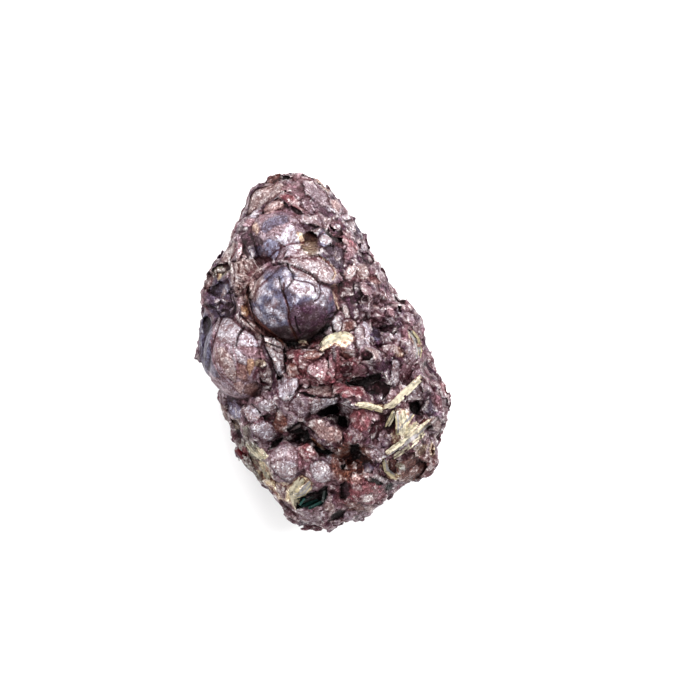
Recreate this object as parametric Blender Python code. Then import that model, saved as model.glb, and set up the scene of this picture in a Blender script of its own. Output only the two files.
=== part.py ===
"""A hand-size piece of raw lepidolite, a lithium mica that grew as pearly balls and stacks of flakes.

The stone is one solid, because its balls, flakes and veins grew into each other. It lies on its
broken underside. X runs to its right, Y up its length and Z up from the surface that it rests on.
The forms are laid out by hand in millimetres and written to Blender in metres.
"""

import math
import random
from collections import namedtuple

import bmesh
import bpy
from mathutils import Matrix, Vector
from mathutils.bvhtree import BVHTree

MM = 0.001

STONE_LENGTH = 60.5  # mm, from the foot of the stone to its top
EDGE_HEIGHT = 15.0  # mm, the level of the outline above the surface it rests on
CREST_ROUNDNESS = 2.3  # exponent of a section's upper side: 2 is an ellipse, more is squarer
UNDERSIDE_ROUNDNESS = 2.6
SKIN_INSET = 1.9  # mm that the skin keeps inside the outline, which the flakes then fill
RING_POINTS = 64
RINGS = 46

FUSE_VOXEL = 0.42  # mm, the grain at which the forms are grown together
TRIANGLES = 9900

Section = namedtuple("Section", "y left right ridge top keel")
Ball = namedtuple("Ball", "name x y across along deep proud turn")
Block = namedtuple("Block", "name x y wide long thick proud lean_x lean_y turn")
Pit = namedtuple("Pit", "name x y wide long deep turn")

# Cross-sections from the foot to the top, in mm: the outline's left and right edges, the x and
# height of the crest, and the level of the lowest point before the underside is cut flat.
SECTIONS = [
    Section(-28.8, -5.6, 3.6, -1.3, 17.0, 10.2),
    Section(-28.0, -6.6, 6.2, -1.0, 18.4, 8.4),
    Section(-25.2, -8.2, 10.0, 0.0, 20.6, 5.6),
    Section(-21.1, -11.9, 16.4, 0.0, 23.0, 2.6),
    Section(-17.0, -15.2, 18.8, 0.5, 25.0, 1.1),
    Section(-12.9, -16.6, 20.9, 1.0, 26.5, 0.3),
    Section(-8.8, -17.8, 21.4, 1.0, 27.6, -0.1),
    Section(-4.8, -18.9, 20.0, 0.0, 28.2, -0.3),
    Section(-0.7, -20.6, 17.6, -1.5, 28.6, -0.3),
    Section(3.4, -21.2, 15.6, -3.0, 28.8, -0.3),
    Section(7.5, -21.3, 13.7, -4.5, 28.6, 0.0),
    Section(11.6, -20.2, 10.8, -5.5, 28.0, 0.6),
    Section(15.6, -17.7, 8.4, -6.0, 27.0, 1.7),
    Section(19.7, -15.3, 6.6, -6.0, 25.6, 3.4),
    Section(23.8, -13.5, 3.4, -5.5, 23.4, 6.0),
    Section(26.6, -12.2, 1.6, -5.2, 20.8, 8.8),
    Section(28.4, -10.0, -0.8, -5.2, 18.4, 11.4),
]

# Rounded growths, in mm: centre, half-sizes, how far the top stands out of the skin, and turn.
BALLS = [
    Ball("great_ball", -5.1, 7.9, 7.2, 6.4, 6.8, 6.2, 0),
    Ball("great_ball_hood", -2.8, 13.5, 5.8, 3.4, 5.5, 4.9, -24),
    Ball("great_ball_collar", -13.2, 11.2, 2.2, 7.4, 4.5, 3.4, 6),
    Ball("collar_foot", -10.6, 3.6, 5.2, 1.7, 3.4, 2.6, -36),
    Ball("upper_dome", -7.9, 18.7, 5.2, 4.6, 4.8, 3.3, 20),
    Ball("upper_left_dome", -12.4, 18.6, 2.9, 4.2, 4.0, 1.6, -20),
    Ball("top_dome", -10.4, 25.2, 2.7, 3.1, 4.0, 1.5, -25),
    Ball("top_crest", -3.6, 27.0, 3.4, 2.2, 4.0, 1.3, -20),
    Ball("top_corner", -7.4, 27.6, 2.0, 1.6, 3.0, 1.0, 0),
    Ball("left_dome", -13.9, -0.9, 6.2, 7.3, 7.4, 5.0, 12),
    Ball("left_shell", -18.6, 1.6, 2.4, 6.2, 6.0, 2.6, 0),
    Ball("left_upper_dome", -16.9, 10.2, 2.9, 5.4, 5.0, 2.2, -10),
    Ball("left_foot_dome", -15.2, -8.6, 2.0, 4.4, 5.0, 1.2, 12),
    Ball("knob_below_left_dome", -10.2, -9.2, 2.3, 1.7, 2.4, 2.4, -15),
    Ball("knob_left", -12.4, -10.6, 1.8, 2.1, 2.4, 1.8, 0),
    Ball("knob_left_low", -11.8, -13.0, 2.2, 2.5, 2.8, 2.2, 20),
    Ball("silver_lump", -5.9, -6.1, 2.9, 2.2, 2.8, 2.0, 0),
    Ball("knob_centre", -4.0, -9.0, 2.0, 1.8, 2.4, 1.5, 0),
    Ball("foot_ball", -6.5, -18.6, 3.5, 3.5, 3.8, 3.2, 15),
    Ball("foot_ball_right", -1.1, -20.2, 2.5, 2.9, 3.2, 2.6, -10),
    Ball("foot_knob", -2.0, -26.9, 3.2, 2.0, 4.0, 1.6, -8),
    Ball("centre_right_mass", 10.0, 0.4, 6.6, 8.0, 6.0, 1.9, -20),
    Ball("right_bulge", 17.8, -9.0, 2.4, 5.4, 6.0, 1.4, 10),
    Ball("lower_right_mass", 14.0, -17.8, 5.0, 4.2, 5.5, 1.7, 35),
    Ball("lower_right_knob", 7.6, -24.2, 3.0, 2.3, 4.0, 1.8, 30),
    Ball("right_flank", 6.8, 11.6, 3.0, 6.0, 5.0, 1.2, 32),
]
BALL_FINENESS = 4  # subdivisions of the sphere that each ball starts from
SMOOTH_BALLS = (
    "great_ball",
    "great_ball_hood",
    "upper_dome",
    "top_dome",
    "left_dome",
    "left_shell",
    "knob_below_left_dome",
    "foot_ball",
    "foot_ball_right",
)

# Flat-sided stacks of mica that stand out of the skin, in mm and degrees.
BLOCKS = [
    Block("wedge_plate", -8.2, -1.6, 3.2, 7.0, 2.4, 2.6, 6, 14, 8),
    Block("mauve_block", -1.0, -3.0, 4.6, 3.8, 3.0, 2.2, -18, 10, 15),
    Block("mauve_block_right", 3.4, -1.4, 5.0, 5.6, 3.0, 2.2, -8, -14, -12),
    Block("mauve_block_far", 7.4, -3.6, 4.2, 4.6, 3.0, 2.4, 10, -20, 24),
    Block("mauve_step", -3.6, -0.6, 3.8, 2.6, 2.4, 1.6, 14, 0, -8),
    Block("ledge_over_hollow", 4.6, -7.4, 7.2, 3.0, 2.6, 2.6, -20, 0, -18),
    Block("ledge_centre", -1.2, -7.6, 6.4, 2.2, 2.4, 2.2, -25, 4, 4),
    Block("pink_block", -0.6, -13.4, 5.2, 4.4, 3.0, 1.6, 12, -16, -28),
    Block("pink_block_right", 6.2, -12.4, 5.0, 5.6, 3.2, 1.8, 10, 18, 30),
    Block("albite_blade", 13.2, -12.2, 2.2, 6.2, 3.0, 2.2, 0, 0, -4),
    Block("albite_fan", 12.6, -15.4, 2.0, 9.0, 2.6, 1.9, 8, 10, -48),
    Block("albite_scarp", 14.6, -6.6, 2.0, 9.0, 2.6, 1.9, 0, 12, -40),
    Block("albite_arc", 1.2, 0.6, 1.4, 5.4, 2.0, 1.9, 0, 0, -66),
    Block("foot_flake", 6.2, -23.6, 4.0, 3.2, 2.0, 2.4, 20, 25, 20),
    Block("upper_right_plate", -3.2, 21.6, 5.6, 2.4, 2.4, 1.6, -18, 14, -12),
    Block("upper_right_step", 0.4, 17.4, 3.4, 4.4, 2.4, 1.6, 0, 24, -30),
    Block("top_plate", -5.4, 24.6, 6.0, 2.6, 2.0, 1.5, -22, 0, -34),
    Block("right_slab", 12.4, -1.2, 2.6, 6.0, 2.4, 2.0, 0, 30, -14),
    Block("right_slab_upper", 5.4, 8.0, 3.6, 5.2, 2.4, 1.6, 0, 26, 12),
]
BLOCK_CORNERS = ((-1.0, -1.0), (0.9, -0.8), (1.0, 0.9), (-0.8, 1.0))  # shares of the half-sizes

# Hollows that reach into the stone, in mm: where they open, their half-sizes and their turn.
PITS = [
    Pit("under_great_ball", -4.0, 1.2, 4.2, 1.1, 2.8, -6),
    Pit("centre_hollow", 1.4, -10.3, 2.8, 1.5, 4.2, 12),
    Pit("centre_hollow_right", 3.4, -12.0, 1.4, 1.3, 3.6, 0),
    Pit("left_hollow", -3.8, -14.4, 3.2, 1.6, 4.0, 30),
    Pit("left_hollow_low", -8.2, -14.7, 2.2, 1.1, 3.6, 30),
    Pit("foot_hollow", -0.2, -16.8, 2.2, 1.2, 3.8, -24),
    Pit("crevice_right", 5.2, -4.9, 3.0, 0.8, 3.6, 10),
    Pit("crevice_upper_right", 9.3, 4.0, 2.2, 1.0, 3.0, 0),
    Pit("right_pit", 15.2, -9.6, 1.5, 1.7, 3.2, 0),
    Pit("rusty_hollow", 4.6, -18.4, 3.2, 2.6, 2.6, 30),
    Pit("upper_crack", 1.4, 20.2, 2.8, 0.8, 3.2, -42),
    Pit("tourmaline_pocket", -1.6, -24.9, 2.6, 1.2, 2.8, 24),
    Pit("left_dome_crease", -7.4, -4.6, 0.7, 3.6, 3.4, 14),
    Pit("collar_groove", -12.0, 7.0, 0.6, 4.6, 2.6, 14),
    Pit("lower_right_crease", 10.4, -21.0, 2.4, 0.8, 3.0, 40),
    Pit("right_crease", 16.8, -3.6, 0.7, 3.2, 3.0, 24),
]
PIT_FINENESS = 2
PIT_JITTER = 0.28  # share of a hollow's half-size by which its rim wanders
PIT_MOUTH = 2.4  # mm above the skin at which a hollow is widest
PIT_SEED = 5

# Books of flakes that cover the rest of the surface
BOOKS = 1150
BOOK_SEED = 11
BOOK_ACROSS = (1.9, 5.2)  # mm
BOOK_THICK = (0.9, 1.7)  # mm
BOOK_STANDS_OUT = (0.1, 0.95)  # mm
BOOK_TILT = 30  # degrees, the most that a book leans away from the skin
BOOK_SIDES = (4, 5, 6)
BOOK_STRETCH = (0.55, 1.0)  # width of a book as a share of its length
CORNER_REACH = (0.8, 1.0)  # share of the half-length at which a corner lies
CORNER_WANDER = 0.2  # share of the step between corners by which one strays
BOOK_END_MARGIN = 0.5  # mm that the books' places keep from the ends of the skin
BOOK_END_LEAN = 0.5  # most that a book's place faces along the stone
CLEAR_OF_BALLS = 0.9  # share of a smooth ball's half-size that stays free of books
CLEAR_ABOVE = 3.0  # mm above the outline from which the smooth balls stay free of books


def section_at(y):
    """The stone's section at that height along it, between the ones laid out by hand."""
    y = min(max(y, SECTIONS[0].y), SECTIONS[-1].y)
    for low, high in zip(SECTIONS, SECTIONS[1:]):
        if y <= high.y:
            share = (y - low.y) / (high.y - low.y)
            return Section(*(a + (b - a) * share for a, b in zip(low, high)))
    return SECTIONS[-1]


def quarter(share, roundness):
    """Height of a rounded quarter, 1 at its middle and 0 at its edge."""
    share = min(abs(share), 1.0)
    return (1.0 - share**roundness) ** (1.0 / roundness)


def crest_height(x, y):
    """Height in mm of the skin's upper side."""
    s = section_at(y)
    edge = s.left if x < s.ridge else s.right
    rise = quarter((x - s.ridge) / (edge - s.ridge), CREST_ROUNDNESS)
    return EDGE_HEIGHT + (s.top - EDGE_HEIGHT) * rise


def skin_point(y, angle):
    """A point on the skin, in mm, at an angle round its section: 0 is the right edge, 90 the crest."""
    s = section_at(y)
    cosine = math.cos(angle)
    sine = math.sin(angle)
    roundness = CREST_ROUNDNESS if sine >= 0 else UNDERSIDE_ROUNDNESS
    side = (s.right - s.ridge) if cosine >= 0 else (s.ridge - s.left)
    rise = (s.top - EDGE_HEIGHT) if sine >= 0 else (EDGE_HEIGHT - s.keel)
    across = math.copysign(abs(cosine) ** (2 / roundness), cosine)
    up = math.copysign(abs(sine) ** (2 / roundness), sine)
    inset = 1.0 - SKIN_INSET / side
    return Vector((s.ridge + side * across * inset, y, EDGE_HEIGHT + rise * up))


def add_skin(bm):
    """The bulk of the stone: rings of the sections, closed at both ends."""
    rings = []
    for i in range(RINGS + 1):
        y = SECTIONS[0].y + (SECTIONS[-1].y - SECTIONS[0].y) * i / RINGS
        angles = [2 * math.pi * k / RING_POINTS for k in range(RING_POINTS)]
        rings.append([bm.verts.new(skin_point(y, a)) for a in angles])
    for ring, following in zip(rings, rings[1:]):
        for k in range(RING_POINTS):
            nxt = (k + 1) % RING_POINTS
            bm.faces.new((ring[k], ring[nxt], following[nxt], following[k]))
    bm.faces.new(reversed(rings[0]))
    bm.faces.new(rings[-1])


def add_ball(bm, ball):
    """A rounded growth, sunk into the skin so that only its top stands out."""
    z = crest_height(ball.x, ball.y) + ball.proud - ball.deep
    place = (
        Matrix.Translation((ball.x, ball.y, z))
        @ Matrix.Rotation(math.radians(ball.turn), 4, "Z")
        @ Matrix.Diagonal((ball.across, ball.along, ball.deep, 1))
    )
    bmesh.ops.create_icosphere(bm, subdivisions=BALL_FINENESS, radius=1.0, matrix=place)


def add_prism(bm, place, outline, thick):
    """A flat plate with that outline in its own plane, its top face at the place's origin."""
    top = [bm.verts.new(place @ Vector((u, v, 0))) for u, v in outline]
    base = [bm.verts.new(place @ Vector((u, v, -thick))) for u, v in outline]
    bm.faces.new(top)
    bm.faces.new(reversed(base))
    for k in range(len(outline)):
        nxt = (k + 1) % len(outline)
        bm.faces.new((top[nxt], top[k], base[k], base[nxt]))


def add_block(bm, block):
    """A four-sided stack of mica, leaning as it grew."""
    z = crest_height(block.x, block.y) + block.proud
    place = (
        Matrix.Translation((block.x, block.y, z))
        @ Matrix.Rotation(math.radians(block.turn), 4, "Z")
        @ Matrix.Rotation(math.radians(block.lean_x), 4, "X")
        @ Matrix.Rotation(math.radians(block.lean_y), 4, "Y")
    )
    outline = [(u * block.wide / 2, v * block.long / 2) for u, v in BLOCK_CORNERS]
    add_prism(bm, place, outline, block.thick + block.proud)


def on_smooth_ball(point):
    """Whether a point lies on one of the balls that stay smooth."""
    for ball in BALLS:
        if ball.name not in SMOOTH_BALLS:
            continue
        from_centre = Vector((point.x - ball.x, point.y - ball.y, 0))
        turned = Matrix.Rotation(math.radians(-ball.turn), 3, "Z") @ from_centre
        reach = math.hypot(turned.x / ball.across, turned.y / ball.along)
        if reach < CLEAR_OF_BALLS and point.z > EDGE_HEIGHT + CLEAR_ABOVE:
            return True
    return False


def book_outline(rng):
    """The uneven flat outline of one book, in mm."""
    across = rng.uniform(*BOOK_ACROSS)
    stretch = rng.uniform(*BOOK_STRETCH)
    sides = rng.choice(BOOK_SIDES)
    start = rng.uniform(0, math.tau)
    outline = []
    for k in range(sides):
        turn = start + math.tau * (k + rng.uniform(-CORNER_WANDER, CORNER_WANDER)) / sides
        reach = across / 2 * rng.uniform(*CORNER_REACH)
        outline.append((reach * math.cos(turn), reach * stretch * math.sin(turn)))
    return outline


def add_books(bm):
    """Books of flakes over the rest of the surface, each leaning its own way."""
    rng = random.Random(BOOK_SEED)
    surface = BVHTree.FromBMesh(bm)
    for _ in range(BOOKS):
        y = rng.uniform(SECTIONS[0].y + BOOK_END_MARGIN, SECTIONS[-1].y - BOOK_END_MARGIN)
        angle = rng.uniform(0, math.tau)
        along = rng.uniform(-BOOK_END_LEAN, BOOK_END_LEAN)
        outwards = Vector((math.cos(angle), along, math.sin(angle))).normalized()
        middle = Vector((section_at(y).ridge, y, EDGE_HEIGHT))
        point, normal, _, _ = surface.ray_cast(middle + outwards * STONE_LENGTH, -outwards)
        lean = math.tan(math.radians(BOOK_TILT)) * rng.random()
        tilt = Vector([rng.gauss(0, 1) for _ in range(3)]).normalized()
        stands_out = rng.uniform(*BOOK_STANDS_OUT)
        thick = rng.uniform(*BOOK_THICK)
        outline = book_outline(rng)
        if on_smooth_ball(point):
            continue
        facing = (normal + tilt * lean).normalized().to_track_quat("Z", "Y")
        place = Matrix.Translation(point + normal * stands_out) @ facing.to_matrix().to_4x4()
        add_prism(bm, place, outline, thick + stands_out)


def new_object(name, bm):
    """An object with that mesh, in the scene, at the origin."""
    mesh = bpy.data.meshes.new(name)
    bm.to_mesh(mesh)
    bm.free()
    obj = bpy.data.objects.new(name, mesh)
    bpy.context.scene.collection.objects.link(obj)
    return obj


def pit_cutter():
    """The hollows, uneven lozenges that taper into the stone. It only cuts, and isn't shown."""
    rng = random.Random(PIT_SEED)
    bm = bmesh.new()
    for pit in PITS:
        z = crest_height(pit.x, pit.y) + PIT_MOUTH
        place = (
            Matrix.Translation((pit.x, pit.y, z))
            @ Matrix.Rotation(math.radians(pit.turn), 4, "Z")
            @ Matrix.Diagonal((pit.wide, pit.long, pit.deep + PIT_MOUTH, 1))
        )
        made = bmesh.ops.create_icosphere(bm, subdivisions=PIT_FINENESS, radius=1.0)
        for vert in made["verts"]:
            vert.co *= 1.0 + rng.uniform(-PIT_JITTER, PIT_JITTER)
            vert.co = place @ vert.co
    bmesh.ops.scale(bm, vec=(MM, MM, MM), verts=bm.verts)
    cutter = new_object("pit_cutter", bm)
    add_fuse(cutter)
    cutter.hide_render = True
    cutter.display_type = "WIRE"
    return cutter


def underside_cutter():
    """A box below the surface that the stone rests on. It only cuts, and isn't shown."""
    bm = bmesh.new()
    side = 2 * STONE_LENGTH * MM
    bmesh.ops.create_cube(bm, size=side, matrix=Matrix.Translation((0, 0, -side / 2)))
    cutter = new_object("underside_cutter", bm)
    cutter.hide_render = True
    cutter.display_type = "WIRE"
    return cutter


def mica_material():
    """Lilac-grey mica with a pearly lustre."""
    material = bpy.data.materials.new("lepidolite_mica")
    material.use_nodes = True
    shader = material.node_tree.nodes["Principled BSDF"]
    shader.inputs["Base Color"].default_value = (0.24, 0.17, 0.2, 1)
    shader.inputs["Roughness"].default_value = 0.42
    shader.inputs["Metallic"].default_value = 0.0
    return material


def apply_modifiers(obj):
    """Turns what the object's modifiers make into its own mesh."""
    graph = bpy.context.evaluated_depsgraph_get()
    mesh = bpy.data.meshes.new_from_object(obj.evaluated_get(graph))
    obj.modifiers.clear()
    obj.data = mesh
    bpy.context.view_layer.update()


def add_fuse(obj):
    """Grows the forms of the mesh together into one skin."""
    fuse = obj.modifiers.new("fuse", "REMESH")
    fuse.mode = "VOXEL"
    fuse.voxel_size = FUSE_VOXEL * MM


def add_cut(obj, cutter):
    """Takes the cutter's volume out of the object."""
    cut = obj.modifiers.new(cutter.name, "BOOLEAN")
    cut.operation = "DIFFERENCE"
    cut.object = cutter


def drop_crumbs(mesh):
    """Leaves out the crumbs that the hollows cut loose, and keeps the one large body."""
    bm = bmesh.new()
    bm.from_mesh(mesh)
    unseen = set(bm.verts)
    bodies = []
    while unseen:
        body = {unseen.pop()}
        edge_of_search = list(body)
        while edge_of_search:
            vert = edge_of_search.pop()
            found = {e.other_vert(vert) for e in vert.link_edges} - body
            body |= found
            edge_of_search += found
        unseen -= body
        bodies.append(body)
    bodies.sort(key=len)
    crumbs = [vert for body in bodies[:-1] for vert in body]
    bmesh.ops.delete(bm, geom=crumbs, context="VERTS")
    bm.to_mesh(mesh)
    bm.free()


def centre_on_origin(mesh):
    """Moves the mesh sideways so that the origin is under the middle of its box."""
    for axis in (0, 1):
        places = [vert.co[axis] for vert in mesh.vertices]
        middle = (min(places) + max(places)) / 2
        for vert in mesh.vertices:
            vert.co[axis] -= middle


def make_stone():
    """Grows the forms together, opens the hollows, and cuts the underside flat to rest on."""
    bm = bmesh.new()
    add_skin(bm)
    for ball in BALLS:
        add_ball(bm, ball)
    for block in BLOCKS:
        add_block(bm, block)
    add_books(bm)
    bmesh.ops.scale(bm, vec=(MM, MM, MM), verts=bm.verts)
    bmesh.ops.recalc_face_normals(bm, faces=bm.faces)
    stone = new_object("lepidolite", bm)
    add_fuse(stone)
    add_cut(stone, pit_cutter())
    apply_modifiers(stone)
    add_fuse(stone)
    apply_modifiers(stone)
    drop_crumbs(stone.data)

    stone.data.calc_loop_triangles()
    thin = stone.modifiers.new("thin", "DECIMATE")
    thin.ratio = TRIANGLES / len(stone.data.loop_triangles)
    add_cut(stone, underside_cutter())
    apply_modifiers(stone)
    drop_crumbs(stone.data)
    centre_on_origin(stone.data)
    stone.data.materials.clear()
    stone.data.materials.append(mica_material())


for old in list(bpy.data.objects):
    bpy.data.objects.remove(old)
make_stone()
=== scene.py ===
import math

import bpy
import numpy as np
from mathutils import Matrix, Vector, noise
from mathutils.bvhtree import BVHTree
from mathutils.kdtree import KDTree


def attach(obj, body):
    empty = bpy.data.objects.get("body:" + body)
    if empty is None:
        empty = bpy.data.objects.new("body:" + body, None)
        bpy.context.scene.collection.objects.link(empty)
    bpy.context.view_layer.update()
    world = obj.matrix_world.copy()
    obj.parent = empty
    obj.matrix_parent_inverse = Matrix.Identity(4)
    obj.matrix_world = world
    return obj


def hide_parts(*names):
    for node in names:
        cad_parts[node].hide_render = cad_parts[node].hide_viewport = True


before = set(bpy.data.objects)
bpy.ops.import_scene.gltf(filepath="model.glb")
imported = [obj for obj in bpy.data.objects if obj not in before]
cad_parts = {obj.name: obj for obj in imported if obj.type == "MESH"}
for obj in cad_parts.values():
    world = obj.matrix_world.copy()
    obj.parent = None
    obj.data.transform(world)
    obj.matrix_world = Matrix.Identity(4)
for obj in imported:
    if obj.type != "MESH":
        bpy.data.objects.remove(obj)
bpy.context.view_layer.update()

# The body of the stone
# Lepidolite, a lithium mica, in one grown lump: rounded balls of tightly packed flakes stand out
# of coarser stacks of the same mica. It starts as the CAD solid, refined until its facets are
# smaller than a flake, and the surface of the real mica is then worked into it.

MM = 0.001
LAYOUT = np.array((0.408, 0.173, 0.0))  # mm from the origin to the middle of the photographed outline
PIXEL = 0.169  # mm of the stone for each pixel of the photograph
OUTLINE_MIDDLE = np.array((325.0, 350.5))  # pixel of the middle of the outline
BODY_GRAIN = 0.2  # mm between the points of the refined surface
BODY_TRIANGLES = 198_000  # that the finished skin keeps
SOFTENED = 45  # rounds of smoothing that take the first solid's hard edges off
SETTLED = 30  # rounds of smoothing after which the skin's main directions are taken
UPPER_SIDE = (12, 14)  # mm of height between which the photographed side begins
SEED = 20


def spot(px, py):
    """A pixel of the photograph as a place in mm from the middle of the outline."""
    return (np.array((px, py)) - OUTLINE_MIDDLE) * (PIXEL, -PIXEL)


def spots(text):
    """Pixels of the photograph, written as pairs, as such places."""
    return np.array([spot(*map(float, pair.split(","))) for pair in text.split()])


def pick(obj):
    """Selects this object alone and makes it active."""
    bpy.ops.object.select_all(action="DESELECT")
    obj.select_set(True)
    bpy.context.view_layer.objects.active = obj


def points_of(mesh):
    """The mesh's points in mm, measured from the middle of the photographed outline."""
    flat = np.empty(len(mesh.vertices) * 3)
    mesh.vertices.foreach_get("co", flat)
    return flat.reshape(-1, 3) / MM - LAYOUT


def normals_of(mesh):
    """The mesh's point normals."""
    flat = np.empty(len(mesh.vertices) * 3)
    mesh.vertex_normals.foreach_get("vector", flat)
    return flat.reshape(-1, 3)


def put_points(mesh, points):
    """Writes points in mm back to the mesh."""
    mesh.vertices.foreach_set("co", ((points + LAYOUT) * MM).ravel())
    mesh.update()


def merged_copy(node, name):
    """A copy of a CAD node with its loose triangles merged into one skin."""
    copy = bpy.data.objects.new(name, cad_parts[node].data.copy())
    bpy.context.scene.collection.objects.link(copy)
    pick(copy)
    bpy.ops.object.mode_set(mode="EDIT")
    bpy.ops.mesh.select_all(action="SELECT")
    bpy.ops.mesh.remove_doubles(threshold=0.000001)
    bpy.ops.object.mode_set(mode="OBJECT")
    return copy


def refine(obj, grain):
    """Rebuilds the object's skin with points about that many mm apart."""
    pick(obj)
    bpy.ops.object.modifier_add(type="REMESH")
    remesh = obj.modifiers[-1]
    remesh.mode = "VOXEL"
    remesh.voxel_size = grain * MM
    bpy.ops.object.modifier_apply(modifier=remesh.name)


def thin_to(obj, triangles, freely):
    """Takes points out of the skin until that many triangles are left, most where freely is 1."""
    group = obj.vertex_groups.new(name="freely")
    steps = 4
    for level in range(steps + 1):
        chosen = np.flatnonzero(np.round(freely * steps) == level)
        group.add(chosen.tolist(), max(0.01, level / steps), "REPLACE")
    pick(obj)
    obj.data.calc_loop_triangles()
    bpy.ops.object.modifier_add(type="DECIMATE")
    thin = obj.modifiers[-1]
    thin.ratio = min(1.0, triangles / len(obj.data.loop_triangles))
    thin.vertex_group = group.name
    thin.vertex_group_factor = 0.000001  # next to nothing, so that the group is all that counts
    bpy.ops.object.modifier_apply(modifier=thin.name)
    obj.vertex_groups.clear()


def smooth_step(low, high, value):
    """0 below low, 1 above high, and a soft change between them."""
    share = np.clip((value - low) / (high - low), 0.0, 1.0)
    return share * share * (3.0 - 2.0 * share)


def noise_at(points, size, octaves=2, offset=0.0):
    """Soft noise from about -1 to 1 at each point, with lumps of about that many mm."""
    values = np.empty(len(points))
    for i, point in enumerate(points / size + offset):
        values[i] = noise.fractal(point, 1.0, 2.0, octaves)
    return values


def nearest_seed(points, seeds):
    """For each point, the number of the nearest seed."""
    tree = KDTree(len(seeds))
    for i, seed in enumerate(seeds):
        tree.insert(seed, i)
    tree.balance()
    return np.array([tree.find(point)[1] for point in points])


def put_attribute(mesh, name, values):
    """Stores a colour or a number for each point of the mesh."""
    if values.ndim == 2:
        data = mesh.attributes.new(name, "FLOAT_COLOR", "POINT")
        rgba = np.column_stack((values, np.ones(len(values))))
        data.data.foreach_set("color", rgba.ravel())
    else:
        data = mesh.attributes.new(name, "FLOAT", "POINT")
        data.data.foreach_set("value", values)


def off_edge(at, start, end):
    """How many mm each place lies from a straight edge."""
    edge = end - start
    share = np.clip(((at - start) @ edge) / (edge @ edge), 0, 1)
    return np.linalg.norm(at - start - share[:, None] * edge, axis=1)


def off_line(points, line):
    """How many mm each point lies from a line seen from above."""
    return np.min([off_edge(points[:, :2], *ends) for ends in zip(line[:-1], line[1:])], axis=0)


def depth_inside(points, outline):
    """How many mm each point lies inside an outline seen from above, negative outside it."""
    at = points[:, :2]
    inside = np.zeros(len(at), bool)
    for start, end in zip(outline, np.roll(outline, -1, axis=0)):
        edge = end - start
        crossing = (start[1] > at[:, 1]) != (end[1] > at[:, 1])
        if edge[1]:
            inside ^= crossing & (at[:, 0] < start[0] + (at[:, 1] - start[1]) * edge[0] / edge[1])
    nearest = off_line(points, np.vstack((outline, outline[:1])))
    return np.where(inside, nearest, -nearest)


# Smooth balls of mica, in mm: x, y, half-width, half-length, depth, turn in degrees
BALLS = {
    "great_ball": (-5.1, 8.0, 7.2, 6.6, 6.8, 0),
    "upper_dome": (-7.9, 18.7, 5.2, 4.6, 4.8, 20),
    "top_dome": (-10.4, 25.2, 2.7, 3.1, 4.0, -25),
    "left_dome": (-13.9, -0.9, 6.2, 7.3, 7.4, 12),
    "left_shell": (-18.6, 1.6, 2.4, 6.2, 6.0, 0),
    "knob": (-10.2, -9.2, 2.3, 1.7, 2.4, -15),
    "foot_ball": (-6.5, -18.6, 3.5, 3.5, 3.8, 15),
    "foot_ball_right": (-1.1, -20.2, 2.5, 2.9, 3.2, -10),
}
BALL_SKIN = (0.4, 0.9)  # mm off a ball, up to which the skin is drawn onto it fully and at all
LARGE_BALL = 4.0  # mm of mean half-size, above which a ball is smooth all over
# Layers over the great ball: mm off its centre, how much larger, mm drawn, outline in pixels
SHELLS = [
    (
        (1.2, 1.4, -1.4),
        1.06,
        7.0,
        "284,261 292,257 300,256 308,257 316,258 322,260 328,264 333,269 336,275 337,282 334,288 "
        "327,287 321,285 318,282 317,279 312,276 305,272 299,269 293,267 287,265",
    ),
    (
        (0.0, 0.0, 0.0),
        1.16,
        2.2,
        "272,262 258,262 250,263 242,268 236,277 234,290 237,300 241,308 246,303 247,294 249,288 "
        "254,282 261,278 268,274 274,269",
    ),
    (
        (0.0, 0.0, 0.0),
        1.05,
        1.6,
        "262,280 268,275 274,268 280,264 285,265 280,270 273,278 266,284 258,292 255,300 252,299 "
        "252,292 256,285",
    ),
]


def ball_frame(ball, top):
    """The ball's centre, half-sizes and turn, from where the skin is highest over its centre."""
    x, y, across, along, deep, turn = ball
    angle = math.radians(turn)
    turned = np.array(
        ((math.cos(angle), -math.sin(angle), 0), (math.sin(angle), math.cos(angle), 0), (0, 0, 1))
    )
    return np.array((x, y, top - deep)), np.array((across, along, deep)), turned


def skin_tree(mesh):
    """The mesh's skin in a form that rays can be cast onto."""
    places = [vert.co[:] for vert in mesh.vertices]
    return BVHTree.FromPolygons(places, [poly.vertices[:] for poly in mesh.polygons])


def height_over(tree, x, y):
    """Height in mm of the skin over a place of the layout."""
    start = Vector((x + LAYOUT[0], y + LAYOUT[1], 100)) * MM
    hit, _, _, _ = tree.ray_cast(start, Vector((0, 0, -1)))
    return hit.z / MM


def drawn_onto(points, frame_of_ball, larger):
    """The points drawn onto a ball's surface, and how many mm each of them was away from it."""
    centre, half, turned = frame_of_ball
    local = ((points - centre) @ turned) / half
    reach = np.linalg.norm(local, axis=1)
    scaled = local / np.maximum(reach, 0.01)[:, None] * half * larger
    return centre + scaled @ turned.T, np.abs(reach - larger) * half.mean()


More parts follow.
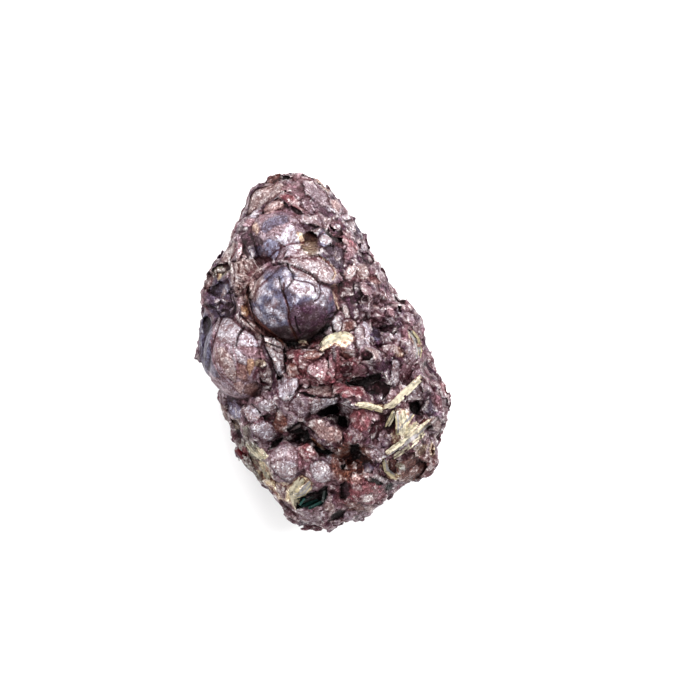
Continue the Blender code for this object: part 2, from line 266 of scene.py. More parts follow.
def round_the_balls(points, tree):
    """Draws the skin near each ball onto the ball's true surface. Returns how smooth it is."""
    roundness = np.zeros(len(points))
    frames = {name: ball_frame(ball, height_over(tree, *ball[:2])) for name, ball in BALLS.items()}
    start = points.copy()
    for name in BALLS:
        target, gap = drawn_onto(start, frames[name], 1.0)
        weight = 1.0 - smooth_step(*BALL_SKIN, gap)
        weight[points[:, 2] < UPPER_SIDE[0]] = 0
        weight *= 1.0 if frames[name][1].mean() > LARGE_BALL else 0.5
        points += (target - points) * weight[:, None]
        roundness = np.maximum(roundness, weight)
    centre, half, turned = frames["great_ball"]
    for shift, larger, drawn, outline in SHELLS:
        target, gap = drawn_onto(start, (centre + shift, half, turned), larger)
        weight = smooth_step(-0.1, 0.1, depth_inside(start, spots(outline)))
        weight *= 1.0 - smooth_step(0.7 * drawn, drawn, gap)
        weight[points[:, 2] < UPPER_SIDE[1]] = 0
        points += (target - points) * weight[:, None]
        roundness = np.maximum(roundness, 0.8 * weight)
    return roundness


def cleave(points, facing, across, tilt, deep, proud, amount, rng):
    """Splits the skin into flat crystal faces that many mm across, each leaning its own way.

    facing holds the direction that the skin faces at each point. Returns that direction for each
    crystal face, and a number from 0 to 1 for each, which says how bright its mica is.
    """
    chosen = rng.choice(len(points), int(len(points) * (BODY_GRAIN / across) ** 2), replace=False)
    seeds = points[chosen]
    cell = nearest_seed(points, seeds)
    face = facing[chosen] + rng.normal(0, math.tan(math.radians(tilt)), seeds.shape)
    face /= np.linalg.norm(face, axis=1)[:, None]
    height = ((points - seeds[cell]) * face[cell]).sum(axis=1)
    move = np.clip(-height, -deep, deep) + (proud * rng.uniform(-1, 1, len(seeds)))[cell]
    points += face[cell] * (move * amount)[:, None]
    return face[cell], rng.random(len(seeds))[cell]


def relaxed(mesh, points, rounds):
    """The points after that many rounds of moving each of them to the middle of its neighbours."""
    ends = np.empty(len(mesh.edges) * 2, int)
    mesh.edges.foreach_get("vertices", ends)
    one, other = ends[::2], ends[1::2]
    total = len(points)
    count = np.bincount(ends, minlength=total)
    for _ in range(rounds):
        columns = [
            np.bincount(one, column[other], total) + np.bincount(other, column[one], total)
            for column in points.T
        ]
        points = np.column_stack(columns) / count[:, None]
    return points


# Crystals and lumps seen on the upper side: colour, mm proud, mm of rounding, outline in pixels. Sunk black
# ones are painted shadow in hollows, sunk dark ones painted shade in creases, white ones painted highlights
CRYSTALS = [
    ("umber", 0.3, 1.0, "266,185 269,179 275,174 281,174 282,180 279,184 273,186"),
    ("painted_shadow_black", -0.4, 0.3, "282,176 291,176 292,180 283,183"),
    ("beige", 0.3, 1.3, "248,218 249,205 251,197 257,190 265,187 275,187 282,184 290,191 277,199 262,208"),
    ("pink", 0.2, 0.8, "290,178 297,175 303,172 311,172 318,178 322,182 315,184 307,182 300,181 293,184"),
    ("tan", 0.2, 0.4, "314,175 323,182 331,188 329,193 323,190 315,182"),
    ("lilac", 0.2, 0.5, "303,183 312,182 319,187 325,192 330,200 330,208 324,209 317,204 311,198 305,195"),
    ("mauve", 0.1, 0.6, "284,187 300,182 305,188 306,197 301,203 295,199 288,196 282,193"),
    ("lilac", 0.1, 0.4, "301,203 307,198 314,203 318,212 312,217 305,211"),
    ("rose", 0.5, 0.15, "281,197 287,196 294,198 299,202 299,207 306,214 300,213 293,209 286,203 279,200"),
    ("painted_shade_and_dark_mica", -0.4, 0.1, "284,204 290,207 299,212 305,216 300,218 292,213 286,210"),
    ("blush", 0.3, 0.2, "264,212 268,207 276,202 281,201 285,207 283,211 276,213 268,217"),
    ("pearl", 0.3, 0.2, "248,221 255,212 262,209 265,212 261,216 255,220"),
    ("mauve", -0.3, 0.3, "259,217 266,214 268,219 264,226 260,222"),
    ("pink", 0.1, 0.3, "244,227 249,221 258,220 257,224 252,229 246,231"),
    ("tan", 0.1, 0.3, "253,227 258,224 262,232 259,237 254,233"),
    ("painted_shade_and_dark_mica", -0.1, 0.3, "242,228 250,228 252,236 262,240 266,246 262,250 256,259 248,262 246,248 240,234"),
    ("slate", 0.2, 0.4, "250,252 256,249 263,248 266,253 262,259 254,260"),
    ("slate", 0.1, 0.5, "262,233 264,227 270,221 280,218 288,218 291,224 284,227 275,230 268,236"),
    ("pearl", 0.35, 0.3, "273,240 281,237 288,229 293,226 301,240 303,248 300,256 284,261 290,251 282,246"),
    ("steel", 0.15, 0.3, "265,245 272,241 281,246 283,254 277,262 268,258"),
    ("lilac", 0.2, 0.3, "283,247 290,251 284,261 277,262 281,254"),
    ("olive", 0.0, 0.3, "303,237 312,233 318,238 318,246 320,257 312,258 305,256 302,249 305,243"),
    ("cream", 0.1, 0.15, "297,234 303,236 306,242 303,249 301,244"),
    ("lilac", 0.3, 0.5, "293,221 300,218 310,218 318,219 323,224 323,229 316,228 306,226 298,228 294,226"),
    ("plum", -0.1, 0.2, "294,226 305,226 317,228 322,230 314,232 300,230"),
    ("slate", 0.2, 0.4, "313,231 321,229 325,233 320,239 315,236"),
    ("steel", 0.3, 0.4, "320,241 325,234 329,237 333,244 328,249 321,248"),
    ("smoke", 0.3, 1.2, "319,257 321,250 330,247 338,248 344,251 345,262 343,268 337,271 330,264 322,260"),
    ("plum", 0.2, 0.8, "321,254 325,251 331,252 332,258 326,261"),
    ("painted_shadow_black", -0.9, 0.2, "322,229 327,231 333,238 341,240 343,244 338,245 331,241 326,236"),
    ("plum", 0.0, 0.3, "320,209 328,207 335,212 339,218 334,223 325,218 319,214"),
    ("pearl", 0.2, 0.1, "325,209 336,211 337,214 329,213"),
    ("blush", 0.3, 0.5, "330,203 337,200 341,208 338,213 333,210"),
    ("pearl", 0.2, 0.2, "339,214 348,214 352,219 345,222 340,219"),
    ("silver", 0.3, 0.2, "344,221 352,220 357,226 356,232 350,232 346,227"),
    ("slate", 0.2, 0.3, "355,225 360,227 364,235 362,240 356,234"),
    ("plum", -0.2, 0.2, "353,234 361,234 361,240 355,241"),
    ("mauve", 0.1, 0.3, "331,222 341,222 343,229 336,231 330,228"),
    ("pearl", 0.1, 0.2, "336,226 340,226 341,229 337,229"),
    ("pink", 0.3, 0.1, "342,231 350,236 356,241 350,240 343,235"),
    ("rose", 0.3, 0.2, "343,238 353,242 359,249 356,254 349,249 342,243"),
    ("pink", 0.4, 0.5, "346,249 353,248 357,254 353,257 346,253"),
    ("mauve", 0.2, 0.8, "343,260 345,254 351,253 353,259 348,263"),
    ("pearl", 0.1, 0.2, "357,245 365,243 369,249 364,252 358,250"),
    ("plum", 0.0, 0.3, "360,252 369,254 374,262 371,267 362,263"),
    ("beige", 0.5, 0.3, "355,269 360,265 366,266 369,273 366,281 361,281 357,277"),
    ("white", 0.5, 0.3, "345,272 350,266 354,269 355,276 351,281 345,281"),
    ("blush", 0.2, 0.3, "367,277 375,276 381,284 376,286 369,283"),
    ("mauve", 0.2, 0.3, "360,284 370,286 372,296 365,298 360,292"),
    ("painted_shade_and_dark_mica", -0.2, 0.4, "353,282 360,284 362,299 355,300 352,290"),
    ("beige", 0.2, 0.6, "222,262 228,250 235,243 240,247 238,258 232,264 226,264"),
    ("pink", 0.3, 0.4, "240,245 245,246 246,255 242,262 239,256"),
    ("beige", 0.4, 0.5, "233,265 240,262 241,272 239,285 241,298 236,295 234,285 233,275"),
    ("moss", 0.2, 0.5, "214,270 222,265 232,264 234,270 228,276 221,279 215,277"),
    ("straw", 0.1, 0.2, "219,273 224,275 224,280 220,281"),
    ("beige", 0.2, 0.5, "205,285 212,272 216,279 214,287 207,293"),
    ("slate", 0.5, 0.4, "212,288 222,282 230,285 233,292 226,298 216,297 210,293"),
    ("maroon", 0.0, 0.3, "338,285 344,281 351,283 353,295 352,300 344,301 338,296"),
    ("plum", -0.3, 0.3, "353,288 358,290 362,296 360,302 354,300"),
    ("tan", 0.1, 0.3, "332,287 336,285 339,292 338,304 341,312 337,310 334,300"),
    ("plum", 0.1, 0.4, "341,300 352,297 358,303 360,315 355,322 350,316 347,305"),
    ("white", 0.4, 0.4, "342,306 346,306 349,313 350,318 346,318 343,313"),
    ("silver", 0.4, 0.9, "336,316 342,320 344,328 339,334 334,330 331,322"),
    ("silver", 0.4, 0.7, "326,328 332,327 334,334 330,338 325,334"),
    ("umber", 0.4, 0.2, "343,323 352,321 357,322 354,329 347,335 341,333"),
    ("painted_shadow_black", -0.9, 0.1, "281,338 290,341 300,338 310,334 320,330 328,323 331,327 322,335 312,338 288,347"),
    ("rust", -0.3, 0.2, "248,287 252,285 251,302 254,312 266,325 284,340 289,347 283,346 262,330 248,312"),
    ("amber", 0.1, 0.2, "243,306 249,305 252,315 249,318 244,315"),
    ("umber", 0.3, 0.4, "242,320 250,318 258,324 266,332 275,339 270,340 262,336 253,330"),
    ("beige", 0.2, 0.3, "257,334 262,334 262,340 258,340"),
    ("silver", 0.15, 0.6, "221,318 232,318 240,322 245,328 241,336 240,346 233,344 225,343 220,336 217,328"),
    ("pearl", 0.2, 0.3, "247,329 256,336 264,343 262,347 252,347 242,345 241,338"),
    ("mauve", 0.1, 0.4, "240,347 252,347 263,347 268,354 271,360 262,358 250,357 243,353"),
    ("silver", 0.2, 0.3, "233,346 240,348 248,357 250,366 242,362 236,360"),
    ("beige", 0.1, 0.4, "216,350 226,346 236,360 240,372 238,382 228,376 221,364"),
    ("umber", 0.1, 0.4, "240,362 250,365 250,380 244,380 238,374"),
    ("amber", 0.3, 0.3, "250,359 256,358 257,365 252,375 249,368"),
    ("olive", 0.3, 0.4, "257,360 266,359 269,364 265,368 257,366"),
    ("maroon", -0.1, 0.6, "262,370 270,366 275,372 276,384 272,391 264,388 261,378"),
    ("blush", 0.2, 0.4, "236,382 244,380 247,386 244,394 238,389"),
    ("umber", 0.2, 0.5, "248,384 258,382 262,388 258,397 250,394 245,392"),
    ("slate", 0.0, 0.6, "203,318 214,316 213,326 210,340 213,356 218,368 224,378 216,376 207,364 200,336"),
    ("plum", -0.5, 0.3, "265,344 270,350 276,362 279,375 277,386 273,394 274,380 271,366 266,354"),
    ("silver", 0.5, 0.3, "265,337 274,338 282,343 285,348 286,358 285,370 281,378 278,372 273,356 268,348"),
    ("tan", 0.2, 0.3, "266,341 273,342 274,347 269,347"),
    ("rose", 0.3, 0.6, "287,352 292,349 303,348 304,353 298,357 290,359 287,356"),
    ("umber", 0.3, 0.5, "304,356 308,350 315,348 322,350 326,353 320,358 313,360 308,359"),
    ("rose", 0.1, 0.3, "308,346 314,341 322,338 326,341 320,346 312,348"),
    ("umber", 0.4, 0.8, "287,368 290,363 296,362 300,366 300,374 295,377 289,375"),
    ("rose", 0.2, 0.5, "299,360 304,358 309,366 308,373 302,376 299,370"),
    ("pink", 0.4, 0.3, "308,367 313,361 320,358 326,356 329,362 328,372 322,378 314,376 309,373"),
    ("mauve", 0.2, 0.2, "329,356 333,350 336,356 336,368 332,378 329,370"),
    ("silver", 0.3, 0.1, "333,347 336,346 336,362 334,362"),
    ("umber", 0.0, 0.4, "340,346 348,349 354,350 353,357 346,360 340,355"),
    ("maroon", -0.1, 0.3, "340,366 346,362 353,366 352,374 345,377 340,373"),
    ("mauve", 0.3, 0.6, "354,366 360,363 367,366 369,372 364,377 356,376 352,371"),
    ("beige", 0.3, 0.2, "365,347 372,348 379,352 378,357 374,361 372,357 371,352 366,351"),
    ("maroon", -0.4, 0.2, "361,354 365,350 371,352 373,357 369,361 362,360"),
    ("silver", 0.2, 0.3, "354,330 360,324 364,332 364,345 358,348 354,340"),
    ("pearl", 0.3, 0.3, "363,322 368,323 371,330 370,342 366,345 364,335"),
    ("slate", 0.0, 0.3, "372,327 378,330 380,340 374,341 371,334"),
    ("painted_shade_and_dark_mica", -0.2, 0.3, "379,327 386,325 396,326 397,331 392,334 385,332 380,333"),
    ("pearl", 0.2, 0.3, "393,334 399,333 401,340 397,342 393,339"),
    ("silver", 0.1, 0.3, "381,337 389,338 390,342 383,343"),
    ("mauve", 0.1, 0.3, "381,345 391,344 397,350 394,357 386,356 381,351"),
    ("tan", 0.1, 0.3, "394,346 399,347 404,353 402,358 396,357 393,352"),
    ("lilac", 0.1, 0.3, "404,341 410,344 415,351 416,360 410,366 405,356"),
    ("silver", 0.1, 0.3, "391,295 397,293 403,299 405,306 400,306 394,301"),
    ("pearl", 0.2, 0.2, "397,307 400,308 400,315 397,314"),
    ("pink", 0.2, 0.3, "387,305 392,309 394,318 388,316 385,309"),
    ("pearl", 0.2, 0.2, "387,319 392,318 393,323 389,324"),
    ("silver", 0.4, 0.4, "391,360 398,360 399,370 397,382 394,388 391,380 390,370"),
    ("plum", -0.1, 0.3, "383,362 391,360 390,372 388,380 383,374"),
    ("mauve", 0.1, 0.3, "400,361 408,364 412,372 408,380 401,378"),
    ("mauve", 0.1, 0.4, "421,363 427,366 431,376 427,384 422,378"),
    ("rose", 0.1, 0.5, "437,380 444,383 449,391 446,394 440,390"),
    ("silver", 0.1, 0.4, "440,396 446,397 447,406 441,408"),
    ("silver", 0.3, 0.4, "406,392 411,385 418,383 422,390 421,399 412,400 406,398"),
    ("painted_shadow_black", -0.6, 0.2, "410,402 418,400 420,407 418,414 411,413 408,408"),
    ("smoke", 0.2, 1.0, "421,400 428,397 433,404 434,412 428,416 422,410"),
    ("pink", 0.2, 0.3, "388,390 394,388 399,394 395,400 388,402 385,398"),
    ("maroon", -0.4, 0.3, "371,382 380,380 390,384 388,392 382,399 376,394 370,390"),
    ("pearl", 0.2, 0.1, "377,394 381,391 382,397 379,400"),
    ("painted_shadow_black", -0.9, 0.1, "345,381 353,379 362,378 370,374 380,372 381,378 372,384 366,388 360,385 346,385"),
    ("rose", 0.4, 0.3, "341,390 347,386 354,385 362,385 366,392 361,396 354,395 347,397 342,396"),
    ("mauve", 0.3, 0.2, "361,396 366,392 372,397 377,403 370,403 364,400"),
    ("pearl", 0.5, 0.6, "279,380 284,376 291,378 299,378 300,387 298,393 292,398 286,400 280,396 278,388"),
    ("pink", 0.4, 0.4, "299,379 308,377 311,384 307,389 301,388"),
    ("beige", 0.3, 0.2, "309,388 318,385 327,384 334,388 334,394 326,395 316,393 310,391"),
    ("painted_shadow_black", -0.6, 0.1, "300,392 306,391 315,394 325,396 335,395 341,393 341,396 330,398 318,397 308,395"),
    ("lilac", 0.3, 0.8, "289,404 294,397 302,394 309,398 312,405 308,413 302,417 295,412 290,409"),
    ("silver", 0.3, 0.3, "311,404 315,398 323,397 329,397 330,402 322,407 318,412 313,413"),
    ("pearl", 0.4, 0.2, "322,398 331,398 340,395 343,397 338,402 330,406 323,407"),
    ("silver", 0.1, 0.3, "341,406 347,404 353,407 352,412 347,414 342,411"),
    ("white", 0.3, 0.1, "341,402 349,399 352,397 351,400 343,404"),
    ("white", 0.3, 0.1, "350,403 356,400 357,403 353,405"),
    ("painted_shadow_black", -1.2, 0.1, "317,412 322,408 330,404 337,403 341,405 340,410 334,413 325,416 318,414"),
    ("painted_shade_and_dark_mica", 0.0, 0.3, "326,417 334,414 340,414 341,420 336,424 329,422"),
    ("painted_shadow_black", -1.0, 0.1, "339,415 345,414 348,418 349,424 343,426 338,423"),
    ("rose", 0.3, 0.5, "349,415 353,409 361,406 368,409 371,417 369,427 362,432 354,427 350,420"),
    ("pink", 0.3, 0.2, "364,409 371,410 378,413 381,419 374,420 368,416"),
    ("blush", 0.5, 0.4, "309,419 316,417 323,417 330,424 342,429 343,438 337,441 329,440 321,437 310,425"),
    ("rose", 0.1, 0.3, "343,434 348,430 353,436 350,440 343,440"),
    ("painted_shadow_black", -1.2, 0.1, "287,428 300,420 310,431 311,436 324,447 336,451 328,454 313,449 300,438 292,434"),
    ("amber", 0.2, 0.1, "311,435 315,437 322,444 327,449 322,448 315,443"),
    ("maroon", 0.0, 0.2, "284,438 292,432 297,433 302,438 296,440 288,440"),
    ("silver", 0.1, 0.2, "300,420 304,420 309,427 306,431 302,427"),
    ("rust", 0.3, 0.8, "277,410 283,411 288,418 289,426 284,432 277,430 274,424 276,417"),
    ("pearl", 0.4, 0.6, "246,407 252,403 258,404 261,409 263,415 258,421 250,421 247,414"),
    ("silver", 0.5, 0.8, "260,403 266,398 274,398 280,406 277,412 270,410 263,409"),
    ("pearl", 0.5, 0.8, "252,425 259,421 268,420 275,426 277,434 271,440 264,439 256,434"),
    ("maroon", -0.1, 0.3, "262,415 270,412 277,416 274,421 266,419"),
    ("moss", 0.1, 0.4, "244,426 250,423 253,432 250,440 245,436"),
    ("umber", 0.2, 0.8, "219,402 225,404 229,413 230,423 225,424 220,413"),
    ("steel", 0.1, 0.5, "229,395 238,400 243,409 243,417 236,418 230,410"),
    ("olive", 0.0, 0.4, "232,418 240,418 242,428 236,430"),
    ("painted_shadow_black", -0.9, 0.1, "270,448 274,441 281,436 286,435 283,440 277,446"),
    ("lilac", 0.3, 1.2, "270,455 275,449 283,443 290,441 297,446 299,456 299,468 296,476 290,480 276,470"),
    ("silver", 0.2, 0.6, "272,463 280,458 290,459 298,462 297,474 290,479 282,475 276,470"),
    ("rose", 0.1, 0.5, "299,444 308,441 314,446 318,452 311,457 303,457 299,452"),
    ("silver", 0.4, 1.0, "311,462 317,459 325,459 331,464 333,472 330,479 322,481 315,477 311,470"),
    ("pearl", 0.2, 0.2, "324,453 330,453 333,457 330,461 326,458"),
    ("moss", 0.1, 0.3, "245,441 251,439 258,443 269,455 262,458 270,467 270,478 262,470 253,462 249,453"),
    ("cream", 0.3, 0.2, "258,446 263,448 270,454 266,457 260,453"),
    ("straw", 0.3, 0.2, "259,459 265,460 270,466 273,475 268,474 262,467"),
    ("rose", 0.1, 0.4, "241,446 247,446 250,452 248,457 243,453"),
    ("straw", 0.2, 0.3, "263,478 270,478 276,485 272,488 266,484"),
    ("lilac", 0.0, 0.3, "276,482 286,487 288,496 283,498 277,490"),
    ("straw", 0.5, 0.3, "287,487 297,476 303,473 310,476 314,482 307,493 296,497 300,502 297,509 286,499"),
    ("cream", 0.3, 0.2, "292,492 299,486 305,481 312,480 313,487 307,492 300,490 294,496"),
    ("mauve", 0.2, 0.5, "313,483 318,479 326,481 325,487 318,490 313,488"),
    ("painted_shadow_black", -0.9, 0.1, "294,500 300,493 318,489 324,484 328,484 328,492 325,500 322,504 308,506 297,508"),
    ("beige", 0.3, 0.6, "324,503 330,500 335,504 333,511 326,510"),
    ("lilac", 0.3, 0.8, "298,512 305,509 312,511 318,506 323,510 325,518 320,524 311,524 302,521 297,517"),
    ("pearl", 0.2, 0.3, "320,509 324,510 325,515 321,516"),
    ("painted_shadow_black", -0.5, 0.2, "328,520 332,512 340,508 346,509 343,515 336,519"),
    ("umber", 0.2, 0.5, "338,446 345,444 351,448 350,455 343,458 337,455"),
    ("painted_shadow_black", -0.5, 0.2, "350,442 358,441 361,450 360,458 353,458 350,450"),
    ("rust", 0.1, 0.4, "345,460 352,458 357,462 355,466 347,466"),
    ("painted_shadow_black", -0.5, 0.2, "340,463 346,462 346,467 341,468"),
    ("blush", 0.2, 0.5, "352,472 358,472 363,477 358,481 351,479"),
    ("rust", 0.1, 0.3, "338,470 352,468 350,480 340,478"),
    ("slate", 0.1, 0.5, "362,462 369,460 374,466 370,471 364,470"),
    ("painted_shade_and_dark_mica", -0.3, 0.3, "340,482 347,480 350,492 347,498 340,497"),
    ("rose", 0.3, 0.5, "349,489 353,484 360,482 362,489 358,496 352,496"),
    ("rose", 0.3, 0.4, "360,483 368,481 375,486 374,491 364,492"),
    ("white", 0.4, 0.3, "362,496 366,493 372,492 373,498 367,501 362,500"),
    ("umber", 0.1, 0.4, "344,502 352,500 360,502 366,508 360,512 350,508"),
    ("pink", 0.3, 0.7, "374,497 382,490 388,491 387,498 379,504 373,502"),
    ("beige", 0.2, 0.6, "366,505 373,502 375,508 371,512 365,511"),
    ("lilac", 0.1, 0.5, "389,493 396,491 400,494 397,497"),
    ("painted_shadow_black", -0.7, 0.1, "366,475 373,476 381,480 383,484 374,482 368,479"),
    ("painted_shadow_black", -0.5, 0.1, "385,484 391,482 392,488 388,491 385,488"),
    ("silver", 0.2, 0.3, "373,472 378,474 386,479 391,482 384,483 376,478"),
    ("umber", 0.2, 0.5, "396,460 408,457 420,458 428,462 425,470 418,478 408,482 398,480 395,472"),
    ("lilac", 0.3, 0.2, "416,431 424,426 430,425 429,434 423,440 417,438"),
    ("olive", 0.2, 0.3, "412,446 420,442 428,444 424,452 414,456"),
    ("beige", 0.1, 0.5, "434,436 439,430 447,436 444,441 436,441"),
    ("beige", 0.3, 0.7, "431,416 436,415 441,421 440,430 435,430 432,424"),
    ("maroon", -0.3, 0.3, "370,422 377,420 380,428 378,437 371,437 368,430"),
    ("plum", 0.1, 0.5, "380,440 386,436 390,440 388,446 381,446"),
    ("silver", 0.2, 0.2, "374,446 382,450 390,448 392,453 384,457 377,455"),
    ("straw", 0.2, 0.2, "382,456 388,456 388,468 393,471 400,474 396,479 387,478 384,470 380,464"),
    ("umber", 0.3, 0.8, "388,460 392,457 396,458 396,466 392,470 388,467"),
    ("moss", 0.2, 0.3, "397,461 404,463 405,469 398,469"),
    ("cream", 0.8, 0.3, "320,350 329,340 336,336 343,335 351,335 355,338 347,347 341,347 336,344 323,352"),
    ("cream", 0.3, 0.2, "300,341 305,340 309,343 308,346 302,346"),
    ("cream", 0.4, 0.2, "407,330 411,332 415,337 418,343 418,352 417,358 416,350 413,344 409,339 407,335"),
    ("cream", 0.5, 0.2, "421,375 414,383 401,394 397,400 390,405 382,409 380,405 390,401 402,389 415,378"),
    ("straw", 0.5, 0.2, "382,410 375,408 366,405 356,404 360,401 368,401 376,404 383,404"),
    ("cream", 0.7, 0.2, "395,410 401,408 408,410 408,420 405,432 400,439 397,430 394,428 395,418"),
    ("moss", 0.4, 0.1, "385,424 388,416 393,410 395,411 391,418 388,426"),
    ("cream", 0.6, 0.1, "432,417 420,427 409,437 396,447 389,453 385,452 400,440 411,428 425,419"),
    ("cream", 0.5, 0.1, "418,420 413,425 407,430 403,434 407,427 412,421"),
    ("straw", 0.3, 0.2, "431,440 434,446 434,452 431,456 429,450 430,444"),
]


EDGE_WANDER = 0.12  # mm that a crystal's edge strays from its outline
FLAT_TOPPED = 0.6  # mm of rounding, below which a crystal's top is flat and leans its own way
TOP_LEAN = 0.28  # slope of such a top, less on a crystal of more than 1.3 mm of half-width
STEEPEST = 1.4  # slope of any top
MOVED = (-1.6, 1.2)  # mm that the skin is moved down or up at most
GROOVE = (0.08, 0.12)  # mm deep and mm of half-width, round each crystal


def edge_wander(points):
    """How many mm a crystal's edge strays at each point."""
    return EDGE_WANDER * noise_at(points, 0.9, offset=20.0)


def around(points, outline, margin):
    """Whether each point lies in the outline's box, with that many mm round it."""
    low, high = outline.min(axis=0) - margin, outline.max(axis=0) + margin
    return ((points[:, :2] > low) & (points[:, :2] < high)).all(axis=1)


def set_crystals(points, normals, roundness, rng):
    """Gives each crystal its own nearly flat top and rounded rim. Returns where there is one."""
    wander = edge_wander(points)
    covered = np.zeros(len(points))
    upper = np.flatnonzero((points[:, 2] > UPPER_SIDE[0]) & (normals[:, 2] > 0.05))
    for _, proud, rounding, text in CRYSTALS:
        outline = spots(text)
        near = upper[around(points[upper], outline, 0.3)]
        depth = depth_inside(points[near], outline) + wander[near]
        within = near[depth > 0]
        if len(within) < 12:
            continue
        middle = points[within].mean(axis=0)
        flat = np.column_stack((points[within, :2] - middle[:2], np.ones(len(within))))
        plane = np.linalg.lstsq(flat, points[within, 2], rcond=None)[0]
        reach = np.ptp(outline, axis=0).max() / 2
        lean = rng.normal(0, TOP_LEAN, 2) * min(1.0, 1.3 / reach) * (rounding < FLAT_TOPPED)
        plane[:2] = np.clip(plane[:2], -STEEPEST, STEEPEST) + lean
        level = (points[near, :2] - middle[:2]) @ plane[:2] + plane[2] + proud
        rim = 1.0 - np.clip(depth / rounding, 0, 1)
        level -= rounding * 0.5 * (1.0 - np.sqrt(1.0 - rim * rim))
        flatten = 0.95 - 0.85 * roundness[near]
        move = np.clip(level - points[near, 2], *MOVED)
        points[near, 2] += move * smooth_step(-0.05, 0.12, depth) * flatten
        points[near, 2] -= GROOVE[0] * np.exp(-((depth / GROOVE[1]) ** 2))
        covered[near] = np.maximum(covered[near], smooth_step(-0.1, 0.1, depth))
    return covered


# Cracks: mm deep, mm of half-width, colour, line in pixels. The black ones are painted shade in the crack
CRACKS = [
    (0.35, 0.16, "rust", "286,285 285,293 287,299 289,305 291,312 290,318 292,326 296,334 299,341"),
    (0.25, 0.14, "painted_shadow_black", "288,265 290,270 295,276 294,283 289,290"),
    (0.2, 0.14, "painted_shadow_black", "281,279 283,290 288,300"),
    (0.25, 0.13, "painted_shadow_black", "275,267 283,266 291,267 299,270 306,274 313,277 317,281 319,284 326,286 333,288"),
    (0.25, 0.14, "plum", "295,281 302,283 310,284 316,288 317,293"),
    (0.25, 0.14, "plum", "321,287 322,294 320,300 314,304"),
    (0.3, 0.14, "painted_shadow_black", "326,320 331,315 337,313 333,319 327,321"),
    (0.25, 0.12, "painted_shadow_black", "297,318 298,326 302,334"),
    (0.3, 0.16, "painted_shadow_black", "247,328 241,336 239,346"),
    (0.1, 0.12, "mauve", "214,340 216,358 222,372 230,381 240,391"),
    (0.1, 0.12, "mauve", "219,345 221,360 228,374 236,382"),
    (0.1, 0.12, "mauve", "236,349 240,360 241,372"),
    (0.3, 0.14, "painted_shadow_black", "268,343 276,346 285,349"),
    (0.2, 0.12, "umber", "275,349 280,353 285,352"),
    (0.4, 0.16, "painted_shadow_black", "286,349 287,360 286,372"),
    (0.3, 0.12, "straw", "320,259 327,263 333,269 336,276 333,281"),
    (0.3, 0.14, "plum", "235,262 237,275 236,290 239,302"),
    (0.25, 0.12, "umber", "241,266 243,280 241,296"),
    (0.25, 0.12, "umber", "246,264 248,276 245,292"),
    (0.3, 0.14, "painted_shadow_black", "266,337 258,330 250,322 243,316"),
    (0.3, 0.12, "painted_shadow_black", "253,403 258,407 262,412"),
    (0.3, 0.12, "painted_shadow_black", "292,492 295,488 300,484 305,481"),
    (0.4, 0.14, "painted_shadow_black", "303,384 296,392 290,396"),
    (0.3, 0.14, "painted_shadow_black", "246,248 246,255 243,262 236,264"),
]
# Flat faces split into the skin, coarse to fine: mm across, degrees of lean, mm deep, mm proud,
# how fully they are split where the mica is rough, and their share of its brightness
CLEAVAGE = [
    (3.2, 8, 0.36, 0.09, 1.0, 0.3),
    (1.6, 11, 0.28, 0.07, 0.8, 0.4),
    (0.8, 5, 0.1, 0.03, 0.7, 0.3),
]

body = merged_copy("lepidolite", "mica_body")
cad_tree = skin_tree(body.data)
refine(body, BODY_GRAIN)
rng = np.random.default_rng(SEED)
skin = points_of(body.data)
# The side it rests on stays flat, and the lower flanks keep most of their ledges
soften = smooth_step(0.3, 2.0, skin[:, 2]) * (0.3 + 0.7 * smooth_step(10, 15, skin[:, 2]))
skin += (relaxed(body.data, skin, SOFTENED) - skin) * soften[:, None]
roundness = round_the_balls(skin, cad_tree)
put_points(body.data, skin)
covered = set_crystals(skin, normals_of(body.data), roundness, rng)
put_points(body.data, relaxed(body.data, skin, SETTLED))  # for its directions only
facing = normals_of(body.data)
above_rest = smooth_step(0.05, 0.9, skin[:, 2])
rough = (1.0 - roundness) * above_rest * (1.0 - 0.8 * covered)
rough_fine = above_rest * smooth_step(6, 16, skin[:, 2]) * (1.0 - 0.8 * roundness)
rough_fine *= 1.0 - 0.7 * covered
tone = 0.0
for (across, tilt, deep, proud, fully, share), where in zip(CLEAVAGE, (rough, rough, rough_fine)):
    facing, brightness = cleave(skin, facing, across, tilt, deep, proud, fully * where, rng)
    tone = tone + share * brightness
put_points(body.data, skin)
normals = normals_of(body.data)
for depth, width, _, line in CRACKS:
    gap = off_line(skin, spots(line))
    opened = depth * np.exp(-((gap / width) ** 2)) * (skin[:, 2] > UPPER_SIDE[1])
    skin -= normals * opened[:, None]
put_points(body.data, skin)
put_attribute(body.data, "tone", tone)
# What the loose flakes need: where the skin is, where it faces, and how free of crystals it is
refined_skin, refined_facing = skin, facing
refined_free = (1.0 - roundness) * (1.0 - covered)
thin_to(body, BODY_TRIANGLES, smooth_step(20, 12, skin[:, 2]))

# The mica's own colours, and those of what grew into it
HUES = {
    # White, pearl and silver are the mica's own, and also painted highlights: glints, lit ridges and the
    # balls' bright spots
    "white": "#CBC8C6",
    "pearl": "#A4A0A8",
    "silver": "#8B868A",
    "steel": "#6E6F84",
    "lilac": "#7A6A71",
    "slate": "#444154",
    "smoke": "#403844",
    "beige": "#8B7C78",
    "bone": "#A8A1A1",
    "pink": "#93797E",
    "blush": "#957C77",
    "mauve": "#67474F",
    "rose": "#763F44",
    "umber": "#5E3B30",
    # Plum and maroon are the mica's own colours, and also painted shade in hollows and on the great ball's
    # lower side
    "plum": "#3C1F33",
    "maroon": "#360F1A",
    # Dark mica, and painted shade in creases and under the great ball
    "painted_shade_and_dark_mica": "#2F1821",
    # Near black: painted shadow in the hollows and cracks, and under the great ball's rim
    "painted_shadow_black": "#1A080C",
    "rust": "#5E3422",
    "amber": "#8C6A4A",
    "tan": "#968070",
    "cream": "#E6D9BC",
    "straw": "#C4B590",
    "moss": "#77796A",
    "olive": "#67583F",
}
